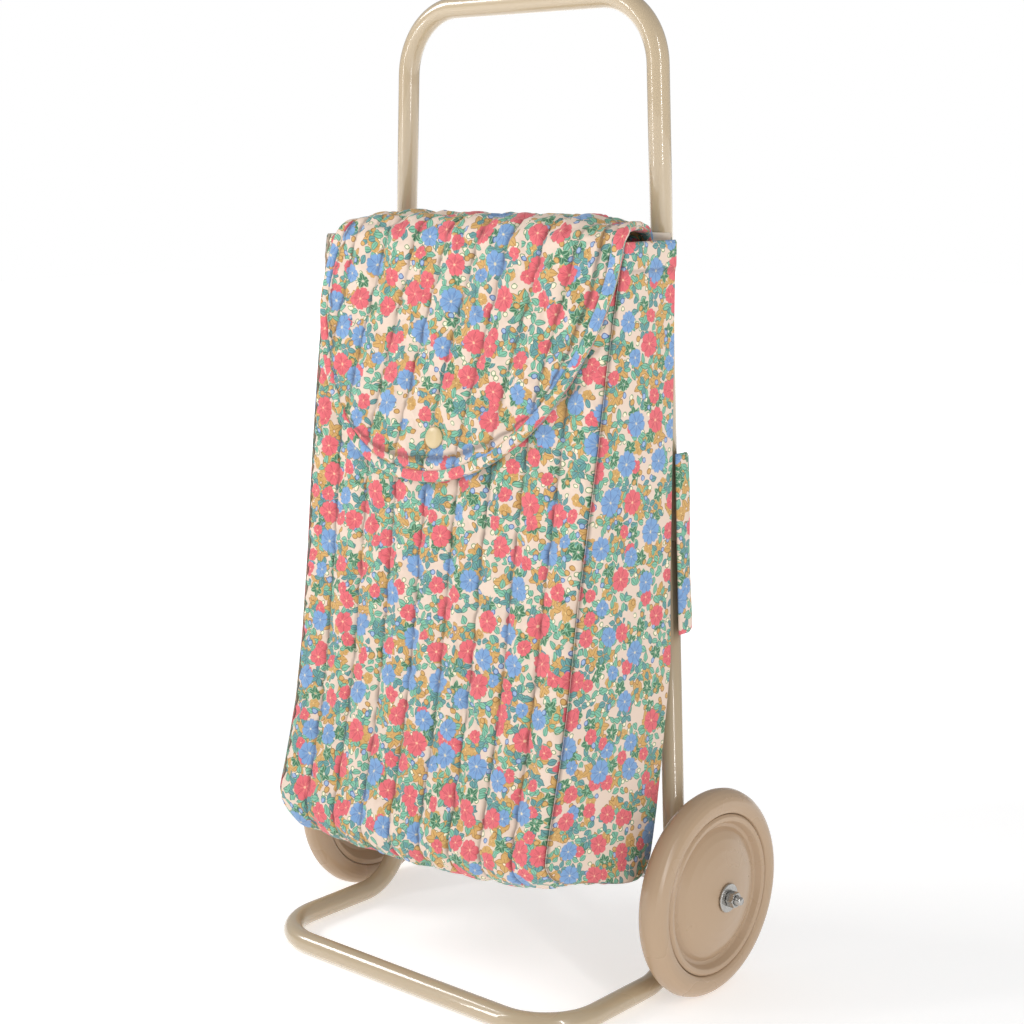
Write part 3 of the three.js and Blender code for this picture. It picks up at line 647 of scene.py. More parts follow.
def band(name, side, materials):
    """A band round an upright: a rounded route in plan with a thickness, carried up the upright, with
    its two outer corners rounded off and a slight wave."""
    r = BAND_LOOP_R + BAND_T / 2
    z_mid = (BAND_Z0 + BAND_Z1) / 2
    x = upright_x(z_mid)
    tail_y = BAG_BACK + 2.4 + 0.9 + BAND_T / 2
    route = rounded([(x + r, BAG_BACK + 0.3), (x + r, UPRIGHT_Y + r), (x - r, UPRIGHT_Y + r),
                     (x - r, tail_y), (x - r - BAND_TAIL, tail_y)], [r * 0.98, r * 0.98, 2.5], 14)
    at = np.linspace(0, lengths(route)[-1], 110)
    line, heading = along(route, at)
    normal = np.stack([-heading[:, 1], heading[:, 0]], -1)
    level = np.linspace(-1, 1, 70)
    back = np.clip((line[:, 1] - (UPRIGHT_Y + r - 9)) / 9, 0, 1)
    tail = np.clip((at - at[-1] + 7) / 7, 0, 1)
    rounds = 7 * (1 - np.sqrt(1 - back ** 2 * 0.99)) + 5 * (1 - np.sqrt(1 - tail ** 2 * 0.99))
    half = (BAND_Z1 - BAND_Z0) / 2 - rounds
    z = z_mid + half[:, None] * level
    near = np.minimum((1 - np.abs(level))[None] * half[:, None], np.minimum(at, at[-1] - at)[:, None])
    wave = 0.35 * np.sin(z / 13 + at[:, None] / 9)
    lean = -TAPER * (z - z_mid)
    grids = []
    for sign in (-1, 1):
        out = sign * (BAND_T / 2 - edge_round(near, 0.9)) + wave * np.clip(near / 8, 0, 1)
        px = line[:, None, 0] + normal[:, None, 0] * out + lean
        py = line[:, None, 1] + normal[:, None, 1] * out
        grids.append(np.stack([side * px, py, z], -1))
    points, faces, kind = shell(grids[0], grids[1])
    uv = np.tile(np.stack([at[:, None] + 0 * z + 50, z], -1).reshape(-1, 2), (2, 1))
    return put_mesh(name, points, faces, materials, uv, 0 * kind, weld=False)


def tape(name, node, material):
    """A napped tape in a CAD strip's box: a thin pillow with rounded edges and a rough pile."""
    low, high = (np.array(c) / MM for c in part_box(node))
    u, v = np.meshgrid(np.linspace(0, 1, 26), np.linspace(0, 1, 90), indexing="ij")
    x, z = low[0] + (high[0] - low[0]) * u, low[2] + (high[2] - low[2]) * v
    near = np.minimum(np.minimum(u, 1 - u) * (high[0] - low[0]), np.minimum(v, 1 - v) * (high[2] - low[2]))
    pile = 0.08 * np.sin(x * 5.1) * np.sin(z * 4.3)
    rise = edge_round(near, 0.5)
    back = np.stack([x, high[1] - 0.1 - rise + pile, z], -1)
    points, faces, kind = shell(back, np.stack([x, low[1] + rise + 0 * x, z], -1))
    return put_mesh(name, points, faces, [material], None, 0 * kind, weld=False)


# ================= finishes =================
class Graph:
    """Puts shader nodes into a material and hands back their sockets."""

    def __init__(self, name):
        self.material = bpy.data.materials.new(name)
        self.material.use_nodes = True
        self.tree = self.material.node_tree
        self.shader = self.tree.nodes["Principled BSDF"]

    def node(self, kind, values=(), **settings):
        made = self.tree.nodes.new("ShaderNode" + kind)
        for key, value in settings.items():
            setattr(made, key, value)
        for place, value in enumerate(values):
            if value is None:
                continue
            if isinstance(value, bpy.types.NodeSocket):
                self.tree.links.new(value, made.inputs[place])
            else:
                made.inputs[place].default_value = value
        return made

    def math(self, operation, *values, clamp=False):
        return self.node("Math", values, operation=operation, use_clamp=clamp).outputs[0]

    def times(self, *values, clamp=False):
        return self.math("MULTIPLY", *values, clamp=clamp)

    def minus(self, *values):
        return self.math("SUBTRACT", *values)

    def wide(self, socket, factor):
        """A vector times a number."""
        made = self.node("VectorMath", [socket], operation="SCALE")
        made.inputs["Scale"].default_value = factor
        return made.outputs[0]

    def vector(self, operation, *values):
        return self.node("VectorMath", values, operation=operation).outputs[0]

    def split(self, socket):
        return self.node("SeparateXYZ", [socket]).outputs

    def coords(self, name="Object"):
        return self.node("TexCoord").outputs[name]

    def noise(self, where, scale, detail=2.0, dimensions="3D"):
        made = self.node("TexNoise", noise_dimensions=dimensions)
        self.tree.links.new(where, made.inputs["Vector"])
        made.inputs["Scale"].default_value = scale
        made.inputs["Detail"].default_value = detail
        return made.outputs

    def mix(self, share, first, second):
        made = self.node("Mix", data_type="RGBA")
        for place, value in ((0, share), (6, first), (7, second)):
            if isinstance(value, bpy.types.NodeSocket):
                self.tree.links.new(value, made.inputs[place])
            else:
                made.inputs[place].default_value = value if place == 0 else (*value[:3], 1.0)
        return made.outputs[2]

    def bump(self, height, strength, distance):
        made = self.node("Bump")
        made.inputs["Strength"].default_value = strength
        made.inputs["Distance"].default_value = distance
        self.tree.links.new(height, made.inputs["Height"])
        self.tree.links.new(made.outputs[0], self.shader.inputs["Normal"])

    def set(self, **values):
        for key, value in values.items():
            socket = self.shader.inputs[key.replace("_", " ")]
            if isinstance(value, bpy.types.NodeSocket):
                self.tree.links.new(value, socket)
            else:
                colour = isinstance(value, tuple) and len(value) == 3
                socket.default_value = (*value, 1.0) if colour else value
        return self.material


def linear(red, green, blue):
    """A screen colour of 0 to 255 as light, by the usual curve."""
    return tuple(((c / 255 + 0.055) / 1.055) ** 2.4 if c > 10 else c / 3294.6 for c in (red, green, blue))


def scatter(graph, where, cell, seed, jitter):
    """One spot to a cell: distance from the nearest in millimetres, angle round it, random numbers."""
    scaled = graph.wide(graph.vector("ADD", where, (seed * 37.13, seed * 17.71, 0.0)), 1 / cell)
    spots = graph.node("TexVoronoi", voronoi_dimensions="2D", feature="F1")
    graph.tree.links.new(scaled, spots.inputs["Vector"])
    spots.inputs["Scale"].default_value = 1.0
    spots.inputs["Randomness"].default_value = jitter
    offset = graph.split(graph.vector("SUBTRACT", scaled, spots.outputs["Position"]))
    chance = graph.split(spots.outputs["Color"])
    turn = graph.math("MULTIPLY_ADD", chance[0], 6.283, graph.math("ARCTAN2", offset[1], offset[0]))
    return graph.times(spots.outputs["Distance"], cell), turn, chance


def chosen(graph, spot, present, floor):
    """1 for the spots whose third random number lies between two shares, and 0 for the rest."""
    chance = spot[2][2]
    return graph.times(graph.math("LESS_THAN", chance, present), graph.math("GREATER_THAN", chance, floor))


def petals(graph, spot, radius, count, varied=0.35):
    """A flower: the edge is a circle pushed out by the cosine of half the petal count times the angle,
    with a notch at each tip. Gives how far out a point is, as a share of the edge, and the cosine."""
    reach, turn, chance = spot
    wave = graph.math("ABSOLUTE", graph.math("COSINE", graph.times(turn, count / 2)))
    lobe = graph.times(graph.math("POWER", wave, 0.55), 0.24)
    notch = graph.times(graph.math("POWER", wave, 24.0), 0.09)
    shape = graph.math("ADD", graph.minus(lobe, notch), 0.80)
    size = graph.math("MULTIPLY_ADD", chance[1], varied * radius, radius * (1 - varied / 2))
    return graph.math("DIVIDE", reach, graph.times(shape, size)), wave


def inside(graph, share, limit=1.0, hardness=14.0):
    """Nearly 1 where a share is below its limit, and 0 past it."""
    return graph.times(graph.minus(limit, share), hardness, clamp=True)


def flower(graph, under, spot, radius, count, petal, dark, heart, present, floor=0.0):
    """Lays a printed flower over the colour under it: veins in each petal, gaps between the petals, a
    drawn edge, pale rays and a heart."""
    share, wave = petals(graph, spot, radius, count)
    from_edge = graph.minus(1.0, share)
    rays = graph.math("ABSOLUTE", graph.math("COSINE", graph.times(spot[1], count * 1.5)))
    veins = graph.times(graph.math("POWER", rays, 10.0), inside(graph, share, 0.72, 5.0))
    gaps = graph.times(inside(graph, wave, 0.2, 6.0), inside(graph, from_edge, 0.8, 8.0))
    edge = graph.times(inside(graph, from_edge, 0.09, 16.0), 0.6)
    drawn = graph.math("MAXIMUM", graph.times(gaps, 0.85), edge)
    colour = graph.mix(graph.math("MAXIMUM", graph.times(veins, 0.55), drawn), petal, dark)
    pale = graph.times(graph.math("POWER", wave, 16.0), inside(graph, share, 0.45, 8.0))
    colour = graph.mix(graph.times(pale, 0.3), colour, heart)
    colour = graph.mix(inside(graph, share, 0.13, 20.0), colour, heart)
    return graph.mix(graph.times(inside(graph, share), chosen(graph, spot, present, floor)), under, colour)


def leaves(graph, under, spot, length, width, count, leaf, dark, present, floor=0.0):
    """Lays a sprig of leaves over the colour under it: the angle is folded into one leaf, whose half
    width is a power of the sine of the way along it."""
    reach, turn, _ = spot
    sector = 2 * math.pi / count
    folded = graph.minus(graph.math("FLOORED_MODULO", turn, sector), sector / 2)
    way = graph.times(reach, graph.math("COSINE", folded))
    side = graph.math("ABSOLUTE", graph.times(reach, graph.math("SINE", folded)))
    share = graph.math("DIVIDE", graph.minus(way, 0.5), length, clamp=True)
    arch = graph.math("SINE", graph.times(graph.math("POWER", share, 0.8), math.pi))
    depth = graph.minus(graph.times(graph.math("POWER", arch, 0.85), width), side)
    body = graph.times(depth, 6.0, clamp=True)
    core = graph.times(graph.minus(depth, 0.34), 6.0, clamp=True)
    rib = graph.times(graph.minus(side, 0.1), 7.0, clamp=True)
    colour = graph.mix(graph.times(core, graph.math("MULTIPLY_ADD", rib, 0.8, 0.2)), dark, leaf)
    return graph.mix(graph.times(body, chosen(graph, spot, present, floor)), under, colour)


def dots(graph, under, spot, radius, fill, ring, present, floor=0.0):
    """Lays small outlined dots over the colour under them."""
    line, edge = 0.45, 5.0
    colour = graph.mix(inside(graph, spot[0], radius - line, edge), ring, fill)
    shown = graph.times(inside(graph, spot[0], radius, edge), chosen(graph, spot, present, floor))
    return graph.mix(shown, under, colour)


def floral(props):
    """Printed cotton: a cream ground under layers of leaves, blossoms, dots and flowers, all spots
    scattered on the cloth's own map in millimetres. Stitch lines, seams and the hem are darkened towards
    brown by the groove attribute: painted shade in their creases."""
    graph = Graph("floral_cotton")
    flat = graph.wide(graph.node("UVMap", uv_map="cloth").outputs[0], 1000 / props.print_scale)
    drift = graph.noise(flat, 0.16, 1.0, "2D")["Color"]
    where = graph.vector("ADD", flat, graph.wide(graph.vector("SUBTRACT", drift, (0.5, 0.5, 0.5)), 1.8))
    colour, coral, blue = tuple(props.ground), tuple(props.coral), tuple(props.blue)
    green, teal, ochre = tuple(props.leaf), tuple(props.teal), tuple(props.ochre)
    gold, green_line, teal_line = linear(156, 108, 46), linear(34, 112, 92), linear(34, 98, 108)
    blue_line, red_line = linear(48, 86, 152), linear(172, 42, 62)
    coral_heart, blue_heart = linear(246, 196, 160), linear(226, 214, 180)
    clover, small, large = (11.6, 5, 0.9), (16.0, 10, 0.8), (20.5, 11, 0.62)
    # How each layer is drawn; the spots' cell, seed and jitter; its sizes, colours and share of the spots.
    layers = (
        (dots, (4.9, 2, 1.0), (1.6, linear(250, 238, 208), linear(92, 142, 92), 0.30)),
        (leaves, (12.5, 12, 0.95), (6.4, 2.2, 5, ochre, gold, 0.46)),
        (flower, (13.5, 1, 0.9), (3.7, 5, ochre, gold, linear(240, 214, 150), 0.45)),
        (leaves, (10.8, 3, 0.8), (6.0, 1.75, 3, green, green_line, 0.62)),
        (leaves, (11.6, 4, 0.85), (5.8, 1.8, 2, teal, teal_line, 0.58)),
        (leaves, clover, (4.4, 1.8, 5, linear(28, 112, 78), linear(150, 196, 160), 0.30)),
        (leaves, clover, (6.2, 1.9, 3, green, green_line, 0.66, 0.30)),
        (leaves, (14.0, 13, 0.9), (5.4, 1.8, 4, teal, teal_line, 0.34)),
        (dots, (7.2, 6, 1.0), (1.75, ochre, gold, 0.34)),
        (dots, (8.6, 7, 1.0), (1.7, linear(150, 182, 220), blue_line, 0.26)),
        (flower, small, (4.5, 5, coral, red_line, coral_heart, 0.36)),
        (flower, small, (4.4, 5, blue, blue_line, blue_heart, 0.48, 0.36)),
        (flower, large, (6.3, 6, coral, red_line, coral_heart, 0.42)),
        (flower, large, (6.5, 7, blue, blue_line, blue_heart, 0.74, 0.42)),
    )
    spots = {}
    for draw, place, values in layers:
        if place not in spots:
            spots[place] = scatter(graph, where, *place)
        colour = draw(graph, colour, spots[place], *values)
    thread = graph.noise(flat, 2.6, 2.0, "2D")["Fac"]
    colour = graph.mix(graph.times(thread, 0.16), colour, linear(226, 205, 185))
    # Painted shade: the cloth darkens towards brown in its creases, by the groove attribute
    crease = graph.node("Attribute", attribute_name="groove").outputs["Fac"]
    colour = graph.mix(graph.times(crease, 0.68), colour, linear(70, 52, 48))
    graph.bump(graph.noise(flat, 1.9, 3.0, "2D")["Fac"], 0.25, 0.0004)
    material = graph.set(Base_Color=colour, Roughness=0.86, Sheen_Weight=0.18, Sheen_Roughness=0.5)
    graph.shader.inputs["Specular IOR Level"].default_value = 0.25
    return material


def cotton(name, colour, tone):
    """Plain woven cotton: a fine grain for the threads, and a slow mottling."""
    graph = Graph(name)
    where = graph.coords()
    mottle = graph.noise(where, 60.0, 3.0)["Fac"]
    weave = graph.noise(where, 2400.0, 1.0)["Fac"]
    colour = graph.mix(graph.times(mottle, 0.5), colour, tone)
    graph.bump(weave, 0.3, 0.0003)
    return graph.set(Base_Color=colour, Roughness=0.9, Sheen_Weight=0.15, Sheen_Roughness=0.5)


def nap(name, colour, tone):
    """Hook-and-loop tape: a coarse pile."""
    graph = Graph(name)
    pile = graph.noise(graph.coords(), 1500.0, 3.0)["Fac"]
    graph.bump(pile, 0.8, 0.0006)
    return graph.set(Base_Color=graph.mix(pile, colour, tone), Roughness=0.95)


def coated_steel(props):
    """Powder coat: a faint orange peel, and a tone that drifts very slightly along the tube."""
    graph = Graph("powder_coat")
    where = graph.coords()
    peel = graph.noise(where, 900.0, 2.0)["Fac"]
    drift = graph.noise(where, 14.0, 2.0)["Fac"]
    colour = graph.mix(graph.times(drift, 0.35), tuple(props.coat), linear(182, 161, 130))
    rough = graph.math("MULTIPLY_ADD", drift, 0.05, 0.24)
    graph.bump(peel, 0.04, 0.0002)
    material = graph.set(Base_Color=colour, Roughness=rough)
    graph.shader.inputs["Coat Weight"].default_value = 1.0
    graph.shader.inputs["Coat Roughness"].default_value = 0.06
    return material


def moulded_plastic(name, colour, tone, rough, grain=700.0, strength=0.05):
    """Moulded plastic: a fine matt grain and a slow drift of tone."""
    graph = Graph(name)
    where = graph.coords()
    drift = graph.noise(where, 22.0, 3.0)["Fac"]
    graph.bump(graph.noise(where, grain, 3.0)["Fac"], strength, 0.0003)
    roughness = graph.math("MULTIPLY_ADD", drift, 0.12, rough - 0.06)
    shade = graph.mix(graph.times(drift, 0.4), colour, tone)
    return graph.set(Base_Color=shade, Roughness=roughness)


def plated(name, colour=(0.56, 0.55, 0.53), rough=0.24):
    """Bright zinc: a fine grain and small dull spots."""
    graph = Graph(name)
    where = graph.coords()
    spots = graph.noise(where, 500.0, 3.0)["Fac"]
    graph.bump(graph.noise(where, 1600.0, 1.0)["Fac"], 0.06, 0.0001)
    roughness = graph.math("MULTIPLY_ADD", spots, 0.2, rough - 0.08)
    shade = graph.mix(spots, colour, (0.42, 0.41, 0.39))
    return graph.set(Base_Color=shade, Metallic=0.95, Roughness=roughness)


def fibreboard(name):
    """Raw fibreboard: long soft fibres and specks."""
    graph = Graph(name)
    where = graph.coords()
    specks = graph.noise(where, 420.0, 4.0)["Fac"]
    graph.bump(specks, 0.4, 0.0004)
    shade = graph.mix(specks, linear(170, 140, 104), linear(205, 178, 140))
    return graph.set(Base_Color=shade, Roughness=0.9)


MADE = {}


def finish_named(name):
    """A finish by its slot, made the first time that it is asked for."""
    if name not in MADE:
        bag, metal = bpy.context.scene.trolley_bag, bpy.context.scene.trolley_frame
        shade, warm = linear(178, 151, 124), tuple(metal.wheel)
        makers = {
            "floral_cotton": lambda: floral(bag),
            "lining_cotton": lambda: cotton(name, tuple(bag.lining), linear(226, 208, 186)),
            "hook_and_loop": lambda: nap(name, linear(222, 208, 184), linear(240, 230, 212)),
            "powder_coat": lambda: coated_steel(metal),
            "wheel_plastic": lambda: moulded_plastic(name, warm, shade, 0.28),
            "tyre_plastic": lambda: moulded_plastic(name, warm, shade, 0.27),
            "snap_enamel": lambda: moulded_plastic(name, linear(216, 194, 150), linear(205, 182, 138), 0.3),
            "plated_steel": lambda: plated(name),
            "base_fibreboard": lambda: fibreboard(name),
        }
        MADE[name] = makers[name]()
    return MADE[name]


def dress(node, finish):
    """Gives a CAD node that stays in view its finish."""
    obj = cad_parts[node]
    obj.data.materials.clear()
    obj.data.materials.append(finish_named(finish))


# ================= settings =================
def tint(name, description, default):
    """A colour that a user may change."""
    return FloatVectorProperty(name=name, description=description, subtype="COLOR", size=3, min=0, max=1,
                               default=default)


def size_mm(name, description, default, low, high):
    """A length that a user may change, given in millimetres."""
    return FloatProperty(name=name, description=description, unit="LENGTH", default=default * MM,
                         min=low * MM, max=high * MM, precision=5)


class TrolleyFrameSettings(bpy.types.PropertyGroup):
    """Sizes and colours of the tube frame and wheels."""

    coat: tint("Powder coat", "Colour of the tubes", linear(192, 173, 143))
    wheel: tint("Wheel plastic", "Colour of the wheels", linear(187, 160, 131))
    tube_sides: IntProperty(name="Tube sides", description="Faces round a tube", default=40, min=12, max=96)
    wheel_sides: IntProperty(name="Wheel sides", description="Faces round a wheel", default=128, min=24,
                             max=256)
    thread_pitch: size_mm("Thread pitch", "Pitch of the axle's thread", 0.8, 0.3, 3)


class TrolleyBagSettings(bpy.types.PropertyGroup):
    """Sizes and colours of the bag."""

    ground: tint("Ground", "Colour of the unprinted cloth", linear(231, 209, 192))
    coral: tint("Coral", "Colour of the red flowers", linear(229, 97, 111))
    blue: tint("Blue", "Colour of the blue flowers", linear(114, 162, 212))
    leaf: tint("Leaf", "Colour of the light leaves", linear(118, 190, 162))
    teal: tint("Teal", "Colour of the darker leaves", linear(88, 156, 156))
    ochre: tint("Ochre", "Colour of the small blossoms", linear(210, 165, 92))
    lining: tint("Lining", "Colour of the lining", linear(240, 228, 212))
    print_scale: FloatProperty(name="Print scale", description="Size of the print against its usual size",
                               default=1.0, min=0.3, max=3)
    channels: IntProperty(name="Channels", description="Quilted channels across a panel", default=9, min=3,
                          max=24)
    puff: size_mm("Puff", "Height of a quilted channel", 2.1, 0, 6)
    gather: size_mm("Gather", "Height of the gathers beside a stitch line", 0.95, 0, 3)


class TrolleyStageSettings(bpy.types.PropertyGroup):
    """Floor and light."""

    floor: tint("Floor", "Colour of the floor", (0.93, 0.93, 0.93))
    glow: FloatProperty(name="Floor glow", description="Light that the floor gives off", default=0.42,
                        min=0, max=1)
    key: FloatProperty(name="Key light", description="Power of the main light", default=12.6, min=0, max=500)
    fill: FloatProperty(name="Fill light", description="Strength of the light from all round", default=0.43,
                        min=0, max=5)


# ================= operators =================
class TROLLEY_OT_tubes(bpy.types.Operator):
    """Sweeps the handle tube and the lower tube along their bent routes"""

    bl_idname = "trolley.tubes"
    bl_label = "Frame tubes"

    def execute(self, context):
        sides = context.scene.trolley_frame.tube_sides
        front = UPRIGHT_Y - FOOT_REACH
        top = upright_x(HANDLE_Z)
        at_joint = upright_x(JOINT_Z)
        handle = rounded([(-at_joint, UPRIGHT_Y, JOINT_Z + 0.3), (-top, UPRIGHT_Y, HANDLE_Z),
                          (top, UPRIGHT_Y, HANDLE_Z), (at_joint, UPRIGHT_Y, JOINT_Z + 0.3)], [38.7, 38.7], 20)
        lower = rounded([(-at_joint, UPRIGHT_Y, JOINT_Z), (-FOOT_HALF, UPRIGHT_Y, FLAT_R),
                         (-FOOT_HALF, front, FLAT_R), (FOOT_HALF, front, FLAT_R),
                         (FOOT_HALF, UPRIGHT_Y, FLAT_R), (at_joint, UPRIGHT_Y, JOINT_Z)],
                        [30, 35.4, 35.4, 30], 18)
        for name, route, node in (("handle_bar", handle, "handle_tube"),
                                  ("foot_bar", lower, "lower_frame_tube")):
            points, faces = swept_tube(route, TUBE_R - 0.06, sides)
            tube = put_mesh(name, points, faces, [finish_named("powder_coat")])
            finish_piece(tube, "frame", "powder_coat", node)
        return {"FINISHED"}


def dome(radius):
    """Outer face of the wheel's disc at a radius: a parabola that rises to the hub."""
    return DOME_EDGE + DOME_RISE * (1 - (radius / DISH_R) ** 2)


class TROLLEY_OT_wheels(bpy.types.Operator):
    """Turns the tyres and the domed discs"""

    bl_idname = "trolley.wheels"
    bl_label = "Wheels"

    def execute(self, context):
        segments = context.scene.trolley_frame.wheel_sides
        half = np.array([(46.3, 0), (46.3, 6.2), (46.9, 7.3), (48.6, 8.1), (51.0, 8.4), (53.4, 8.1),
                         (55.6, 7.1), (57.5, 5.3), (58.9, 3.0), (WHEEL_R, 0)], float)
        smooth = rounded(half, [0.5, 0.9, 2.2, 3.5, 4, 4, 4, 4], 5)
        mirror = smooth[1:-1][::-1] * [1, -1]
        tyre = np.concatenate([smooth, mirror]) + [0, WHEEL_X]
        radii = np.array([HUB_R, 14, 20, 26, 32, 36, DISH_R])
        outer = np.stack([radii, dome(radii)], -1)
        outer[-2:, 1] -= [0.5, 1.5]
        disc = [(BORE_R, dome(HUB_R)), *outer.tolist(), (40.4, 4.0), (42.2, 7.4), (44.6, 7.8),
                (46, 6.6), (46, -6.6), (43, -6.6), *[(r, dome(r) - DOME_T) for r in radii[::-1]],
                (HUB_R, -8), (BORE_R, -8)]
        rounding = [0.3, 1.2, 4, 4, 4, 4, 1.5, 0.8, 1.2, 0.9, 0.7, 0.3, 0.3, 1.0, 1.5, 4, 4, 4, 4, 4,
                    1.0, 0.6, 0.3]
        disc = eased(disc, rounding[: len(disc)], 4) + [0, WHEEL_X]
        for name, side in SIDES:
            body = f"{name}_wheel"
            piece = turned(f"{name}_tyre_ring", tyre, side, finish_named("tyre_plastic"), segments)
            finish_piece(piece, body, "wheel_plastic", f"{name}_tyre")
            piece = turned(f"{name}_disc", disc, side, finish_named("wheel_plastic"), segments)
            finish_piece(piece, body, "wheel_plastic", f"{name}_wheel_disc")
        return {"FINISHED"}


class TROLLEY_OT_axle(bpy.types.Operator):
    """Turns the threaded axle, washers and chamfered nuts, and finishes the small metal parts"""

    bl_idname = "trolley.axle"
    bl_label = "Axle and fixings"

    def execute(self, context):
        pitch = context.scene.trolley_frame.thread_pitch / MM
        zinc = finish_named("plated_steel")
        end = AXLE_END
        threads = np.linspace(end - THREADED, end - 0.7, 180)
        run = [(0, -end), (1.7, -end), (AXLE_R, 0.8 - end), *[(AXLE_R, -x) for x in threads[::-1][1:]],
               *[(AXLE_R, x) for x in threads], (1.7, end), (0, end)]

        def screwed(angle, out, radius):
            turn = np.abs(out) / pitch + np.sign(out) * angle / (2 * math.pi)
            cut = 0.28 * np.abs(2 * (turn % 1) - 1)
            return radius - cut * (np.abs(out) > end - THREADED) * (radius > AXLE_R - 0.1)

        axle = turned("threaded_axle", run, 1, zinc, 48, screwed)
        finish_piece(axle, "frame", "plated_steel", "axle")
        face = WHEEL_X + dome(HUB_R)
        washer = eased([(BORE_R, face + 0.3), (8.2, face + 0.3), (8.2, face + 1.7), (BORE_R, face + 1.7)],
                       [0.15, 0.45, 0.45, 0.2], 4)
        x0, x1 = face + 2.0, face + 6.6
        nut = [(BORE_R, x0), (4.2, x0), *[(4.7, x) for x in np.linspace(x0, x1, 14)], (4.0, x1),
               (BORE_R, x1)]

        def hexagon(angle, out, radius):
            flats = 4.0 / np.cos((angle % (math.pi / 3)) - math.pi / 6)
            chamfer = 4.05 + 1.35 * np.minimum(x1 - out, 0.6) + 4 * np.clip(x1 - out - 0.6, 0, 1)
            return np.where(radius > 4.5, np.minimum(flats, chamfer), np.minimum(radius, flats))

        for name, side in SIDES:
            piece = turned(f"{name}_flat_washer", washer, side, zinc, 64)
            finish_piece(piece, "frame", "plated_steel", f"{name}_washer")
            piece = turned(f"{name}_hex_nut", nut, side, zinc, 96, hexagon)
            finish_piece(piece, "frame", "plated_steel", f"{name}_axle_nut")
            for node in ("joint_sleeve", "joint_screw", "inner_nut"):
                dress(f"{name}_{node}", "plated_steel")
            dress(f"{name}_spacer", "wheel_plastic")
        return {"FINISHED"}


class TROLLEY_OT_bag(bpy.types.Operator):
    """Makes the quilted panels, the gussets, the lining and the floor's board"""

    bl_idname = "trolley.bag"
    bl_label = "Bag"

    def execute(self, context):
        props = context.scene.trolley_bag
        cloth = [finish_named("floral_cotton"), finish_named("lining_cotton")]
        puff, gather = props.puff / MM, props.gather / MM
        for name, s0, s1, seed, lift, fine, swell in (
                ("quilted_front", 0.0, FRONT_END - 0.2, 1, 1.0, 12, 5.0),
                ("quilted_base", FRONT_END, BASE_END - 0.2, 2, 0.7, 8, 0.0),
                ("quilted_back", BASE_END, BAG_TOTAL, 3, 0.35, 8, 0.0)):
            piece = quilted_panel(name, s0, s1, props.channels, puff * lift, gather * lift, seed, cloth,
                                  fine, swell)
            node = name.replace("quilted_", "") + "_panel"
            finish_piece(piece, "frame", "floral_cotton", node)
        for name, side in SIDES:
            piece = gusset(f"{name}_end", side, cloth)
            finish_piece(piece, "frame", "floral_cotton", f"{name}_gusset")
        lining = pouch("bag_lining", cloth[1])
        finish_piece(lining, "frame", "lining_cotton", "lining")
        finish_piece(stiffener("stiff_board", finish_named("base_fibreboard")), "frame", "base_fibreboard",
                     "base_board")
        for node in ("snap_stud", "snap_post"):
            dress(node, "plated_steel")
        return {"FINISHED"}


class TROLLEY_OT_flap(bpy.types.Operator):
    """Makes the quilted flap in two pieces and its bound edge"""

    bl_idname = "trolley.flap"
    bl_label = "Flap"

    def execute(self, context):
        cloth = [finish_named("floral_cotton")]
        *sheet, cut = flap_sheet()
        over = flap_piece("flap_over_mouth", slice(0, cut + 1), sheet, cloth)
        finish_piece(over, None, "floral_cotton", "flap_bridge")
        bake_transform(over)
        hanging = flap_piece("flap_hanging", slice(cut, None), sheet, cloth)
        finish_piece(hanging, None, "floral_cotton", "flap_front")
        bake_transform(hanging)
        edge = binding("flap_edge", flap_rim(True), 1, cloth)
        finish_piece(edge, None, "cotton_binding", "flap_binding")
        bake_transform(edge)
        for name, side in SIDES:
            rim = binding(f"{name}_flap_side", flap_rim(False, side), -side, cloth)
            finish_piece(rim, None, "cotton_binding", f"{name}_bridge_binding")
            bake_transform(rim)
        return {"FINISHED"}


class TROLLEY_OT_snap(bpy.types.Operator):
    """Turns the snap's enamelled cap on the flap"""

    bl_idname = "trolley.snap"
    bl_label = "Snap"

    def execute(self, context):
        profile = rounded([(0, 2.6), (3.2, 2.45), (5.6, 1.7), (6.3, 0.8), (6.0, 0.0), (0, 0.0)],
                          [6, 2.2, 0.7, 0.3], 5)
        angle = np.linspace(0, 2 * math.pi, 64, endpoint=False)[:, None]
        r, out = profile[None, :, 0], profile[None, :, 1]
        middle = np.full_like(r * np.cos(angle), SNAP[0])
        grid = flap_point(middle, 0 * middle + SNAP[1], FLAP_T / 2 + 0.5 + out + 0 * middle)
        tangent = np.array([0, *FLAP_DOWN])
        grid = grid + (r * np.cos(angle))[..., None] * np.array([1.0, 0, 0])
        grid = grid + (r * np.sin(angle))[..., None] * tangent
        faces = quads(len(angle), profile.shape[0], wrap_rows=True)
        cap = put_mesh("snap_button", grid.reshape(-1, 3), faces, [finish_named("snap_enamel")])
        finish_piece(cap, "flap_front", "snap_enamel", "snap_cap")
        dress("snap_socket", "plated_steel")
        return {"FINISHED"}


class TROLLEY_OT_bands(bpy.types.Operator):
    """Makes the bands round the uprights and their napped tapes"""

    bl_idname = "trolley.bands"
    bl_label = "Bands"

    def execute(self, context):
        cloth = [finish_named("floral_cotton")]
        for name, side in SIDES:
            piece = band(f"{name}_upright_band", side, cloth)
            finish_piece(piece, "frame", "floral_cotton", f"{name}_band")
            for part in ("hook_strip", "loop_strip"):
                strip = tape(f"{name}_{part.replace('strip', 'tape')}", f"{name}_{part}",
                             finish_named("hook_and_loop"))
                finish_piece(strip, "frame", "hook_and_loop", f"{name}_{part}")
        return {"FINISHED"}


